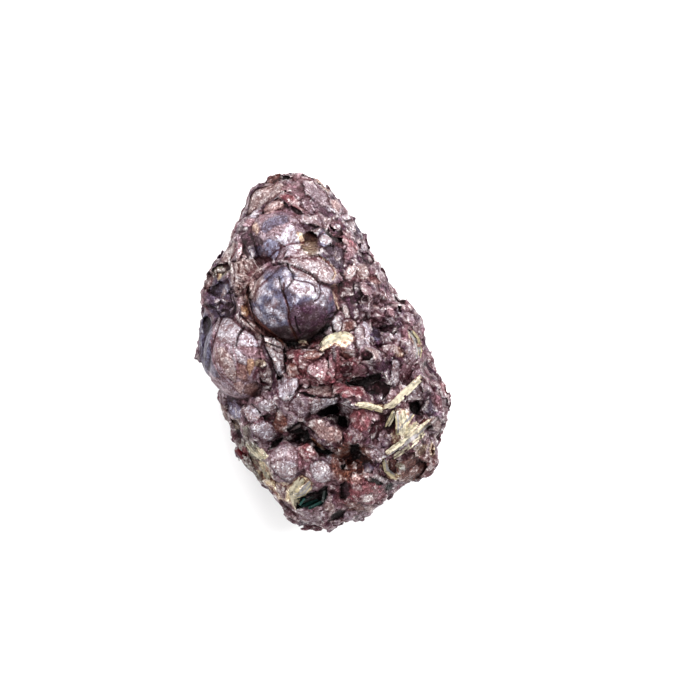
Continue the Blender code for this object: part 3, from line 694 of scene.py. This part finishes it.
# Wider patches under the crystals: x, y, half-width, half-length in pixels, turn, colour, strength
PATCHES = [
    (294, 303, 43, 40, 0, "slate", 1.0),
    # Painted shadow under the great ball's rim
    (292, 338, 42, 12, 0, "painted_shade_and_dark_mica", 1.0),
    # Painted highlight on the great ball
    (306, 288, 15, 11, 0, "silver", 0.9),
    # Painted shade on the great ball's lower side
    (311, 321, 21, 20, 0, "plum", 1.0),
    (262, 312, 12, 24, 0, "slate", 0.9),
    # Painted highlight on the great ball
    (322, 296, 8, 12, 0, "silver", 0.5),
    # Painted shadow under the great ball's rim
    (300, 336, 40, 10, 0, "painted_shadow_black", 0.6),
    # Painted shade on the great ball's lower side
    (314, 324, 18, 15, 0, "painted_shadow_black", 0.3),
    (308, 268, 32, 14, 28, "bone", 0.65),
    (250, 280, 16, 26, 0, "beige", 0.9),
    (278, 240, 30, 26, 0, "lilac", 0.7),
    (225, 300, 16, 24, 0, "slate", 0.6),
    (245, 358, 34, 40, 0, "lilac", 0.8),
    (208, 345, 8, 34, 0, "slate", 0.9),
    (325, 372, 40, 26, 0, "rose", 0.7),
    (375, 385, 20, 24, 0, "plum", 0.8),
    (350, 460, 24, 22, 0, "rust", 0.8),
    (360, 490, 26, 16, 0, "rose", 0.6),
    (256, 462, 12, 30, -34, "moss", 0.7),
    (266, 474, 6, 22, -34, "straw", 0.75),
    (284, 490, 10, 10, 0, "cream", 0.7),
    (400, 430, 7, 16, 30, "straw", 0.55),
    (415, 466, 24, 14, -20, "umber", 0.6),
    (355, 425, 24, 18, 0, "mauve", 0.6),
]
# The first three also stand as painted shadow and shade in hollows and creases
COVERING = ("painted_shadow_black", "painted_shade_and_dark_mica", "maroon", "cream")  # hues that nothing shines through
# Silvery spots of a ball's skin, brightest where they paint the great ball's highlight, in pixels: x, y,
# reach
SILVER_SPOTS_AND_PAINTED_HIGHLIGHTS = [
    (264, 293, 5),
    (258, 312, 4),
    (262, 316, 4),
    (272, 309, 5),
    (277, 304, 4),
    (284, 318, 4),
    (279, 313, 3),
    (275, 323, 4),
    (290, 284, 6),
    (288, 275, 4),
    (280, 286, 5),
    (300, 290, 8),
    (308, 286, 7),
    (313, 293, 5),
    (326, 292, 6),
    (317, 301, 5),
    (267, 285, 4),
    (272, 295, 3),
    (262, 303, 3),
    (268, 323, 3),
    (325, 306, 3),
    (297, 302, 3),
]


def from_hex(text):
    """An sRGB hex colour as linear red, green and blue."""
    parts = [int(text[i : i + 2], 16) / 255 for i in (1, 3, 5)]
    return np.array([p / 12.92 if p <= 0.04045 else ((p + 0.055) / 1.055) ** 2.4 for p in parts])


def tinted(colours, hue, weight):
    """The colours drawn towards one of the hues, as far as weight says."""
    return colours + (from_hex(HUES[hue]) - colours) * weight[:, None]


def tint_at(points):
    """The colour at each point: a soft mix all over and each crystal's own on the upper side, with painted
    shadow in its hollows and cracks and painted light and shade on the balls.
    """
    mix = smooth_step(-0.4, 0.4, noise_at(points, 3.0))[:, None]
    dark = smooth_step(-0.1, 0.5, noise_at(points, 2.4, offset=40.0))
    colours = from_hex(HUES["lilac"]) * mix + from_hex(HUES["mauve"]) * (1 - mix)
    colours = tinted(colours, "plum", dark)
    wander = noise_at(points, 1.4, offset=80.0)
    strayed = edge_wander(points)
    upper = smooth_step(UPPER_SIDE[0] - 1, UPPER_SIDE[1], points[:, 2])
    # Patches, some of them painted light and shade on the great ball
    for px, py, wide, long, turn, hue, strength in PATCHES:
        x, y = spot(px, py)
        angle = math.radians(-turn)
        east = (points[:, 0] - x) / PIXEL
        north = (points[:, 1] - y) / PIXEL
        u = (east * math.cos(angle) + north * math.sin(angle)) / wide
        v = (north * math.cos(angle) - east * math.sin(angle)) / long
        weight = (1.0 - smooth_step(0.8, 1.05, np.hypot(u, v) + 0.15 * wander)) * strength * upper
        colours = tinted(colours, hue, weight)
    # The balls' silvery spots, brightest as a painted highlight on the great ball
    for px, py, reach in SILVER_SPOTS_AND_PAINTED_HIGHLIGHTS:
        x, y = spot(px, py)
        away = np.hypot(points[:, 0] - x, points[:, 1] - y) / (reach * PIXEL) + 0.4 * wander
        colours = tinted(colours, "pearl", (1.0 - smooth_step(0.5, 1.2, away)) * 0.75 * upper)
    # Each crystal's own colour; the sunk black ones are painted shadow, the white ones painted highlights
    for hue, _, _, text in CRYSTALS:
        outline = spots(text)
        near = np.flatnonzero(around(points, outline, 0.4))
        depth = depth_inside(points[near], outline) + strayed[near]
        strength = 0.98 if hue in COVERING else 0.78
        own = tinted(colours[near], hue, smooth_step(-0.08, 0.08, depth) * upper[near] * strength)
        rim = 1.0 - 0.15 * np.exp(-((depth / 0.11) ** 2)) * upper[near]
        colours[near] = own * rim[:, None]
    # Each crack's colour along it; the black ones are painted shade
    for _, width, hue, line in CRACKS:
        gap = off_line(points, spots(line))
        colours = tinted(colours, hue, np.exp(-((gap / (1.1 * width)) ** 2)) * 0.9 * upper)
    return colours


def node(tree, kind, links=None, **settings):
    """Adds a node with its settings, its input values and its links. Returns its outputs."""
    made = tree.nodes.new("ShaderNode" + kind)
    for name, value in settings.items():
        setattr(made, name, value)
    for socket, value in (links or {}).items():
        if isinstance(value, bpy.types.NodeSocket):
            tree.links.new(value, made.inputs[socket])
        else:
            made.inputs[socket].default_value = value
    return made.outputs


def new_material(name):
    """A new material, with its node tree and its shader."""
    material = bpy.data.materials.new(name)
    material.use_nodes = True
    return material, material.node_tree, material.node_tree.nodes["Principled BSDF"]


def place_in_mm(tree):
    """The place on the piece in mm, for a pattern that stays where it grew."""
    place = node(tree, "TexCoord")["Object"]
    return node(tree, "Mapping", {"Vector": place, "Scale": (1000, 1000, 1000)})[0]


def pearly_mica(name, grain, lean):
    """Mica seen on its cleavage faces: silvery where one catches the light, plum where it turns away.

    grain is the size in mm of the finest faces, and lean how far they turn out of the skin. The
    scale of each pattern is how many of its lumps, cells or leaves there are to a mm.
    """
    material, tree, shader = new_material(name)
    in_mm = place_in_mm(tree)
    tint = node(tree, "Attribute", attribute_name="tint")["Color"]
    tone = node(tree, "Attribute", attribute_name="tone")["Fac"]
    ball = node(tree, "Attribute", attribute_name="ball")["Fac"]

    # The faces, specks of a quarter of their size, clouds on the balls, and cracks 3 mm apart
    warp = node(tree, "TexNoise", {"Vector": in_mm, "Scale": 1.1, "Detail": 2.0})["Color"]
    bent = node(tree, "VectorMath", {0: warp, 1: in_mm})[0]
    face = node(tree, "TexVoronoi", {"Vector": bent, "Scale": 1 / grain})["Color"]
    speck = node(tree, "TexVoronoi", {"Vector": bent, "Scale": 3.6 / grain})["Color"]
    face_value = node(tree, "SeparateColor", {0: face})
    speck_value = node(tree, "SeparateColor", {0: speck})
    clouds = node(tree, "TexNoise", {"Vector": in_mm, "Scale": 0.85, "Detail": 3.0})[0]
    cloud = node(tree, "MapRange", {"Value": clouds, "From Min": 0.36, "From Max": 0.64})[0]
    away = node(tree, "TexVoronoi", {"Vector": bent, "Scale": 0.3}, feature="DISTANCE_TO_EDGE")
    crack = node(tree, "MapRange", {"Value": away["Distance"], "From Max": 0.03, "To Min": 0.6})[0]

    # How silvery it is: each face by itself on the stacks, in clouds on the balls, specks on both
    by_face = node(tree, "Mix", {0: 0.25, 2: tone, 3: face_value[0]})[0]
    patches = node(tree, "Mix", {0: ball, 2: by_face, 3: cloud})[0]
    mottled = node(tree, "Mix", {0: 0.38, 2: patches, 3: speck_value[0]})[0]
    silver = node(tree, "MapRange", {"Value": mottled, "From Min": 0.22, "From Max": 0.78})[0]
    shade = node(tree, "MapRange", {"Value": silver, "To Min": 0.15, "To Max": 1.0})[0]

    # The edges of leaves a fifth of a mm thick, in stacks of 2 mm that each turn their own way
    stack = node(tree, "TexVoronoi", {"Vector": bent, "Scale": 0.5})["Color"]
    turns = node(tree, "VectorMath", {0: stack, "Scale": 6.3}, operation="SCALE")[0]
    about = {"Vector": bent, "Rotation": turns}
    turned = node(tree, "VectorRotate", about, rotation_type="EULER_XYZ")[0]
    flattened = node(tree, "Mapping", {"Vector": turned, "Scale": (0.8, 0.8, 5.0)})[0]
    leaves = node(tree, "TexNoise", {"Vector": flattened, "Scale": 1.0, "Detail": 2.0})[0]
    between = node(tree, "MapRange", {"Value": ball, "To Min": 0.45, "To Max": 0.9})[0]
    leaf_range = {"Value": leaves, "From Min": 0.38, "From Max": 0.6, "To Min": between, "To Max": 1.2}
    leaf = node(tree, "MapRange", leaf_range)[0]
    pit_range = {"Value": speck_value[2], "From Min": 0.08, "From Max": 0.24, "To Min": 0.28}
    pit = node(tree, "MapRange", pit_range)[0]
    for darker in (pit, leaf, crack):
        shade = node(tree, "Math", {0: shade, 1: darker}, operation="MULTIPLY")[0]

    # The colour: deep in the shade, some faces warmer than others, and a few specks painted near white as
    # glints, a painted highlight
    deep = node(tree, "VectorMath", {0: tint, 1: (0.3, 0.14, 0.14)}, operation="MULTIPLY")[0]
    warm, cool = (1.2, 1.12, 1.12, 1), (1.08, 1.14, 1.2, 1)
    cast = node(tree, "Mix", {0: face_value[1], 6: warm, 7: cool}, data_type="RGBA")[2]
    bright = node(tree, "VectorMath", {0: tint, 1: cast}, operation="MULTIPLY")[0]
    dimmed = node(tree, "Mix", {0: shade, 6: deep, 7: bright}, data_type="RGBA")[2]
    # Painted highlight: specks lightened in the base colour to stand for glints of light
    painted_glint_range = {"Value": speck_value[1], "From Min": 0.79, "From Max": 0.95, "To Max": 0.75}
    painted_glint = node(tree, "MapRange", painted_glint_range)[0]
    painted_glint_gain = {0: tint, 1: (2.0, 2.1, 2.1), 2: (0.02, 0.02, 0.02)}
    painted_glint_colour = node(tree, "VectorMath", painted_glint_gain, operation="MULTIPLY_ADD")[0]
    colour = node(tree, "Mix", {0: painted_glint, 6: dimmed, 7: painted_glint_colour}, data_type="RGBA")[2]
    gloss = node(tree, "MapRange", {"Value": silver, "To Min": 0.6, "To Max": 0.3})[0]
    metal = node(tree, "MapRange", {"Value": silver, "To Min": 0.0, "To Max": 0.4})[0]

    # Faces and specks lean out of the skin, each its own way, and less on the smooth balls
    middle = (0.5, 0.5, 0.5)
    leaning = node(tree, "VectorMath", {0: face, 1: middle}, operation="SUBTRACT")[0]
    fine = node(tree, "VectorMath", {0: speck, 1: middle}, operation="SUBTRACT")[0]
    fine = node(tree, "VectorMath", {0: fine, "Scale": 0.9}, operation="SCALE")[0]
    leaning = node(tree, "VectorMath", {0: leaning, 1: fine})[0]
    lean_here = node(tree, "MapRange", {"Value": ball, "To Min": lean, "To Max": 0.45 * lean})[0]
    leaning = node(tree, "VectorMath", {0: leaning, "Scale": lean_here}, operation="SCALE")[0]
    outward = node(tree, "NewGeometry")["Normal"]
    leaning = node(tree, "VectorMath", {0: outward, 1: leaning})[0]
    facet = node(tree, "VectorMath", {0: leaning}, operation="NORMALIZE")[0]
    relief = {"Height": shade, "Normal": facet, "Strength": 0.9, "Distance": 0.00015}
    bump = node(tree, "Bump", relief)[0]
    made = {"Base Color": colour, "Roughness": gloss, "Metallic": metal, "Normal": bump}
    for socket, value in made.items():
        tree.links.new(value, shader.inputs[socket])
    shader.inputs["Specular IOR Level"].default_value = 0.16
    return material


# Shade in the grooves and light on the ridges: rounds of smoothing that they are measured
# against, mm of depth, how dark a groove gets, how light a ridge gets
HOLLOWS = [
    (5, 0.07, 0.85, 0.55),
    (50, 0.6, 0.7, 0.0),
]
GROOVE_CAST = (0.8, 1.0, 0.97)  # a groove keeps more of its red than of its green and blue

skin = points_of(body.data)
normals = normals_of(body.data)
tint = tint_at(skin)
patchy = smooth_step(-0.2, 0.4, noise_at(skin, 1.2, offset=130.0))
on_ball = round_the_balls(skin.copy(), cad_tree)
for rounds, reach, darkest, lightest in HOLLOWS:
    sunk = ((relaxed(body.data, skin, rounds) - skin) * normals).sum(axis=1)
    tint *= 1.0 - darkest * smooth_step(0.0, reach, sunk)[:, None] * GROOVE_CAST
    ridge = smooth_step(0.01, 0.06, -sunk) * patchy * (1.0 - 0.9 * on_ball)
    tint = tinted(tint, "white", lightest * ridge)
put_attribute(body.data, "tint", tint)
put_attribute(body.data, "ball", on_ball)
# Lepidolite: pearly, with a soft sparkle of silver over lilac, rose and plum, and specks painted near white
# as glints
mica = pearly_mica("pearly_mica", 0.9, 0.3)
pick(body)
bpy.ops.object.shade_smooth_by_angle(angle=math.radians(28))
body.data.materials.clear()
body.data.materials.append(mica)
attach(body, "root")
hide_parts("lepidolite")

# The loose-edged flakes
# Thin books of mica a millimetre or two across, which break the light into glints. They grew out
# of the stone at all angles, and their edges stand out of it.

CORNERS = 6
# Fields of flakes: name, how many, mm of half-width, mm of half-thickness, how much of its width
# an upright flake keeps, degrees of lean, seed
FIELDS = [
    ("flakes_above", 1200, (0.3, 0.9), (0.05, 0.12), 0.45, 9, 3),
    ("flakes_below", 2200, (0.7, 1.9), (0.06, 0.16), 1.0, 8, 4),
]


def new_piece(name, points, faces, material):
    """A mesh of its own on the stone, from its points in mm of the layout."""
    mesh = bpy.data.meshes.new(name)
    mesh.from_pydata(((points + LAYOUT) * MM).tolist(), [], faces)
    mesh.materials.append(material)
    obj = bpy.data.objects.new(name, mesh)
    bpy.context.scene.collection.objects.link(obj)
    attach(obj, "root")
    return obj


def flake_field(chance, name, count, radii, thick, upright, lean, seed):
    """Flakes strewn over the body, thicker where chance is high, in one mesh of closed plates."""
    rng = np.random.default_rng(seed)
    chosen = rng.choice(len(refined_skin), count, p=chance / chance.sum(), replace=False)
    at = refined_skin[chosen]
    loose = rng.random((count, 1)) ** 3
    slope = math.tan(math.radians(lean))
    up = refined_facing[chosen] + rng.normal(0, 1, (count, 3)) * slope * loose
    up /= np.linalg.norm(up, axis=1)[:, None]
    side = np.cross(up, rng.normal(0, 1, (count, 3)))
    side /= np.linalg.norm(side, axis=1)[:, None]
    across = np.cross(up, side)
    size = rng.uniform(*radii, count) * rng.uniform(0.6, 1.0, count)
    size *= upright + (1.0 - upright) * np.abs(up[:, 2])
    stretch = rng.uniform(0.5, 1.0, count)
    depth = rng.uniform(*thick, count)
    turns = (np.arange(CORNERS) + rng.uniform(-0.3, 0.3, (count, CORNERS))) * math.tau / CORNERS
    reach = size[:, None] * rng.uniform(0.75, 1.0, (count, CORNERS))
    u = (reach * np.cos(turns))[:, :, None] * side[:, None, :]
    v = (reach * np.sin(turns) * stretch[:, None])[:, :, None] * across[:, None, :]
    lift = rng.uniform(-0.12, 0.04, count)
    top = at[:, None, :] + u + v + (up * (lift + depth / 2)[:, None])[:, None, :]
    base = top - (up * (depth * 2)[:, None])[:, None, :]
    points = np.concatenate((top, base), axis=1).reshape(-1, 3)
    points[:, 2] = np.maximum(points[:, 2], 0.0)
    faces = []
    for first in range(0, len(points), 2 * CORNERS):
        second = first + CORNERS
        faces.append([first + k for k in range(CORNERS)])
        faces.append([second + k for k in reversed(range(CORNERS))])
        for k in range(CORNERS):
            after = (k + 1) % CORNERS
            faces.append([first + k, second + k, second + after, first + after])
    flakes = new_piece(name, points, faces, mica).data
    put_attribute(flakes, "tint", np.repeat(tint_at(at), 2 * CORNERS, axis=0))
    put_attribute(flakes, "tone", np.repeat(rng.random(count) ** 1.3, 2 * CORNERS))
    put_attribute(flakes, "ball", np.zeros(len(points)))


height = refined_skin[:, 2]
above = refined_free * smooth_step(10, 15, height) + 0.03 * smooth_step(14, 15, height)
below = smooth_step(16, 11, height) * smooth_step(0.5, 2.0, height)
for chance, field in zip((above, below), FIELDS):
    flake_field(chance, *field)

# The albite
# Cream feldspar that grew between the stacks of mica as bundles of flat fibres, since broken
# across, so that their ends are uneven.

# Bundles: mm wide, mm proud, fibres, line in pixels
ALBITE = [
    (1.3, 0.3, 5, "320,350 328,341 337,337 347,336 353,339"),
    (1.8, 0.35, 6, "399,410 401,422 400,437"),
    (0.8, 0.4, 3, "432,418 409,436 386,452"),
    (0.5, 0.35, 2, "418,420 403,434"),
    (0.5, 0.3, 2, "394,410 386,426"),
    (0.9, 0.25, 4, "408,330 415,339 418,350 417,358"),
    (0.8, 0.35, 3, "421,376 404,392 391,404 381,408"),
    (0.7, 0.3, 3, "382,409 366,404 355,403"),
    (0.5, 0.3, 2, "428,428 405,447 391,457"),
    (0.4, 0.3, 2, "412,413 396,433"),
    (0.6, 0.3, 3, "383,456 386,469 397,477"),
    (1.2, 0.3, 4, "303,476 294,490 297,505"),
    (1.0, 0.3, 4, "312,481 303,491 293,495"),
    (0.5, 0.2, 2, "262,461 270,480"),
    (0.4, 0.2, 2, "246,441 254,450 263,458"),
    (0.6, 0.2, 2, "258,447 268,456"),
]
STEP = 0.3  # mm between the cross-sections of a fibre
ROOT = 0.6  # mm that a fibre reaches down into the stone
FIBRE_HUES = ("cream", "cream", "straw", "bone")
FIBRE_SEED = 7


def along(line, step):
    """Places that many mm apart along a bent line."""
    lengths = np.linalg.norm(np.diff(line, axis=0), axis=1)
    total = np.concatenate(([0.0], np.cumsum(lengths)))
    at = np.linspace(0.0, total[-1], max(5, int(total[-1] / step)))
    return np.column_stack([np.interp(at, total, line[:, axis]) for axis in (0, 1)])


def fibre(places, wide, proud, tilt, rng):
    """Rings of four points round a flat fibre that lies along these places of the stone."""
    way = np.gradient(places, axis=0)
    way /= np.linalg.norm(way, axis=1)[:, None]
    side = np.column_stack((-way[:, 1], way[:, 0], np.full(len(way), tilt)))
    taper = np.sin(np.linspace(0.15, math.pi - 0.15, len(places))) ** 0.4
    half = (wide / 2 * taper * rng.uniform(0.8, 1.2, len(places)))[:, None]
    height = np.array([height_over(stone_tree, *place) for place in places])
    padded = np.pad(height, 2, mode="edge")
    height = np.maximum(np.convolve(padded, (0.1, 0.2, 0.4, 0.2, 0.1), mode="valid"), height)
    middle = np.column_stack((places, height + proud * taper))
    under = middle - (0, 0, proud + ROOT)
    rings = (middle + side * half, middle - side * half, under - side * half, under + side * half)
    return np.stack(rings, axis=1)


def tube_faces(rings, corners, first):
    """Faces round rings of points, one after the other, with both ends closed."""
    faces = [[first + k for k in reversed(range(corners))]]
    for ring in range(rings - 1):
        start = first + ring * corners
        for k in range(corners):
            after = (k + 1) % corners
            faces.append([start + k, start + after, start + corners + after, start + corners + k])
    last = first + (rings - 1) * corners
    faces.append([last + k for k in range(corners)])
    return faces


def grown_piece(name, rods, tints, material):
    """One mesh of closed rods, each given as its rings of points and its colour."""
    faces, colours = [], []
    for rod, tint_of_rod in zip(rods, tints):
        faces += tube_faces(len(rod), rod.shape[1], len(colours))
        colours += [tint_of_rod] * (len(rod) * rod.shape[1])
    obj = new_piece(name, np.concatenate([rod.reshape(-1, 3) for rod in rods]), faces, material)
    put_attribute(obj.data, "tint", np.array(colours))
    pick(obj)
    bpy.ops.object.mode_set(mode="EDIT")
    bpy.ops.mesh.select_all(action="SELECT")
    bpy.ops.mesh.normals_make_consistent(inside=False)
    bpy.ops.object.mode_set(mode="OBJECT")


def veined_crystal(name, grain, darkest, roughness):
    """A crystal's own colour, darker where stain has crept into its cracks, grain mm apart."""
    material, tree, shader = new_material(name)
    veins = {"Vector": place_in_mm(tree), "Scale": 1 / grain, "Detail": 4.0}
    vein = node(tree, "TexNoise", veins)[0]
    stain = {"Value": vein, "From Min": 0.38, "From Max": 0.55, "To Min": darkest}
    shade = node(tree, "MapRange", stain)[0]
    own = node(tree, "Attribute", attribute_name="tint")["Color"]
    stained = node(tree, "VectorMath", {0: own, "Scale": shade}, operation="SCALE")[0]
    bump = node(tree, "Bump", {"Height": shade, "Strength": 0.6, "Distance": 0.00008})[0]
    tree.links.new(stained, shader.inputs["Base Color"])
    tree.links.new(bump, shader.inputs["Normal"])
    shader.inputs["Roughness"].default_value = roughness
    return material


stone_tree = skin_tree(body.data)
rng = np.random.default_rng(FIBRE_SEED)
fibres, fibre_tints = [], []
for wide, proud, count, text in ALBITE:
    line = spots(text)
    end_to_end = line[-1] - line[0]
    across = np.array((-end_to_end[1], end_to_end[0])) / np.linalg.norm(end_to_end)
    for part in np.linspace(-0.5, 0.5, count):
        places = along(line, STEP) + across * part * wide * 0.8
        cut = rng.integers(0, max(1, len(places) // 5), 2)
        places = places[cut[0] : len(places) - cut[1]]
        tilt = rng.uniform(-0.25, 0.25)
        height = proud * rng.uniform(0.1, 0.6)
        fibres.append(fibre(places, 2.0 * wide / count, height, tilt, rng))
        hue = from_hex(HUES[FIBRE_HUES[rng.integers(len(FIBRE_HUES))]])
        fibre_tints.append((hue * rng.uniform(0.4, 0.85)).tolist())
# Albite: dull cream, with darker veins where the stone's own stain has crept in
albite = veined_crystal("stained_albite", 0.7, 0.45, 0.5)
grown_piece("albite_fibres", fibres, fibre_tints, albite)

# The tourmaline
# Dark green prisms in the hollow near the broad end, and one small red-brown crystal at the edge
# of the stone. Tourmaline grew as long glassy rods before the mica closed over them.

# Prisms: mm of radius, mm above the stone at the first and last end, colour, ends in pixels
TOURMALINE = [
    (0.45, 0.3, 0.5, "#0A1512", "300,501 322,490"),
    (0.35, 0.5, 0.3, "#0E2421", "302,506 319,497"),
    (0.42, 0.4, 0.9, "#0B1A16", "324,501 326,485"),
    (0.3, 0.3, 0.4, "#10302C", "309,507 325,499"),
    (0.26, 0.5, 0.3, "#0A1512", "298,498 307,488"),
    (0.22, 0.4, 0.3, "#163F3A", "305,497 300,504"),
    (0.5, -0.2, 0.5, "#4A1018", "244,457 237,448"),
]


def prism(start, end, radius, sides=6):
    """Rings of points round a straight prism whose ends are bluntly broken."""
    way = (end - start) / np.linalg.norm(end - start)
    side = np.cross(way, (0.0, 0.0, 1.0))
    side /= np.linalg.norm(side)
    up = np.cross(side, way)
    turns = (np.arange(sides) + 0.5) * math.tau / sides
    ring = np.outer(np.cos(turns), side) + np.outer(np.sin(turns), up)
    shares = ((0.0, 0.75), (0.04, 1.0), (0.5, 0.95), (0.96, 1.0), (1.0, 0.6))
    return np.stack([start + (end - start) * share + ring * radius * size for share, size in shares])


prisms, prism_tints = [], []
for radius, from_stone, to_stone, colour, text in TOURMALINE:
    (x0, y0), (x1, y1) = spots(text)
    level = height_over(stone_tree, x0, y0)
    start = np.array((x0, y0, level + from_stone))
    end = np.array((x1, y1, level + to_stone))
    prisms.append(prism(start, end, radius))
    prism_tints.append(from_hex(colour).tolist())
# Tourmaline: nearly black and glassy, with a sharp light on each of its long faces
tourmaline = veined_crystal("glassy_tourmaline", 0.5, 0.6, 0.16)
grown_piece("tourmaline_prisms", prisms, prism_tints, tourmaline)

# The table it is photographed on
# A plain board, painted matt white and much larger than the stone. It takes the stone's faint
# shadow and is otherwise as bright as the room.

bpy.ops.mesh.primitive_plane_add(size=1.6)
floor = bpy.context.object
floor.name = "floor"
# White paint: even and bright, with no gloss to mirror the stone
board, _, board_shader = new_material("matt_white_board")
board_shader.inputs["Base Color"].default_value = (*from_hex("#FCFCFC"), 1)
board_shader.inputs["Roughness"].default_value = 0.9
floor.data.materials.append(board)

# The studio light
# A large soft box beyond the stone's narrow end gives the light on the balls. A second stands to
# its right, a weaker one to its left, and the room itself is pale.

# Soft boxes: name, place in metres, metres wide, watts
LIGHTS = [
    ("soft_box_beyond", (0.02, 0.5, 0.42), 0.5, 6.2),
    ("soft_box_right", (0.42, 0.2, 0.5), 0.4, 4.9),
    ("soft_box_left", (-0.5, 0.1, 0.45), 0.4, 2.2),
]
for name, place, size, power in LIGHTS:
    bpy.ops.object.light_add(type="AREA", location=place)
    lamp = bpy.context.object
    lamp.name = name
    lamp.data.size = size
    lamp.data.energy = power
    lamp.rotation_euler = Vector(place).to_track_quat("Z", "Y").to_euler()
world = bpy.data.worlds.new("pale_room")
bpy.context.scene.world = world
world.use_nodes = True
world.node_tree.nodes["Background"].inputs["Color"].default_value = (1, 1, 1, 1)
world.node_tree.nodes["Background"].inputs["Strength"].default_value = 0.86
bpy.context.scene.view_settings.view_transform = "Standard"

# The camera
# Straight above the stone, which lies on its broken side, with a long lens as for small objects.
# A pixel of the photograph is a pixel of its picture at the level of the stone's outline.

PHOTO_SIDE = 700  # pixels
EDGE_HEIGHT = 15.0  # mm, the level of the outline
CAMERA_HEIGHT = 600.0  # mm above that level
SENSOR = 36.0  # mm
camera_x = (PHOTO_SIDE / 2 - OUTLINE_MIDDLE[0]) * PIXEL + LAYOUT[0]
camera_y = (OUTLINE_MIDDLE[1] - PHOTO_SIDE / 2) * PIXEL + LAYOUT[1]
camera_z = EDGE_HEIGHT + CAMERA_HEIGHT
bpy.ops.object.camera_add(location=(camera_x * MM, camera_y * MM, camera_z * MM))
camera = bpy.context.object
camera.data.sensor_width = SENSOR
camera.data.lens = SENSOR * CAMERA_HEIGHT / (PHOTO_SIDE * PIXEL)
bpy.context.scene.camera = camera
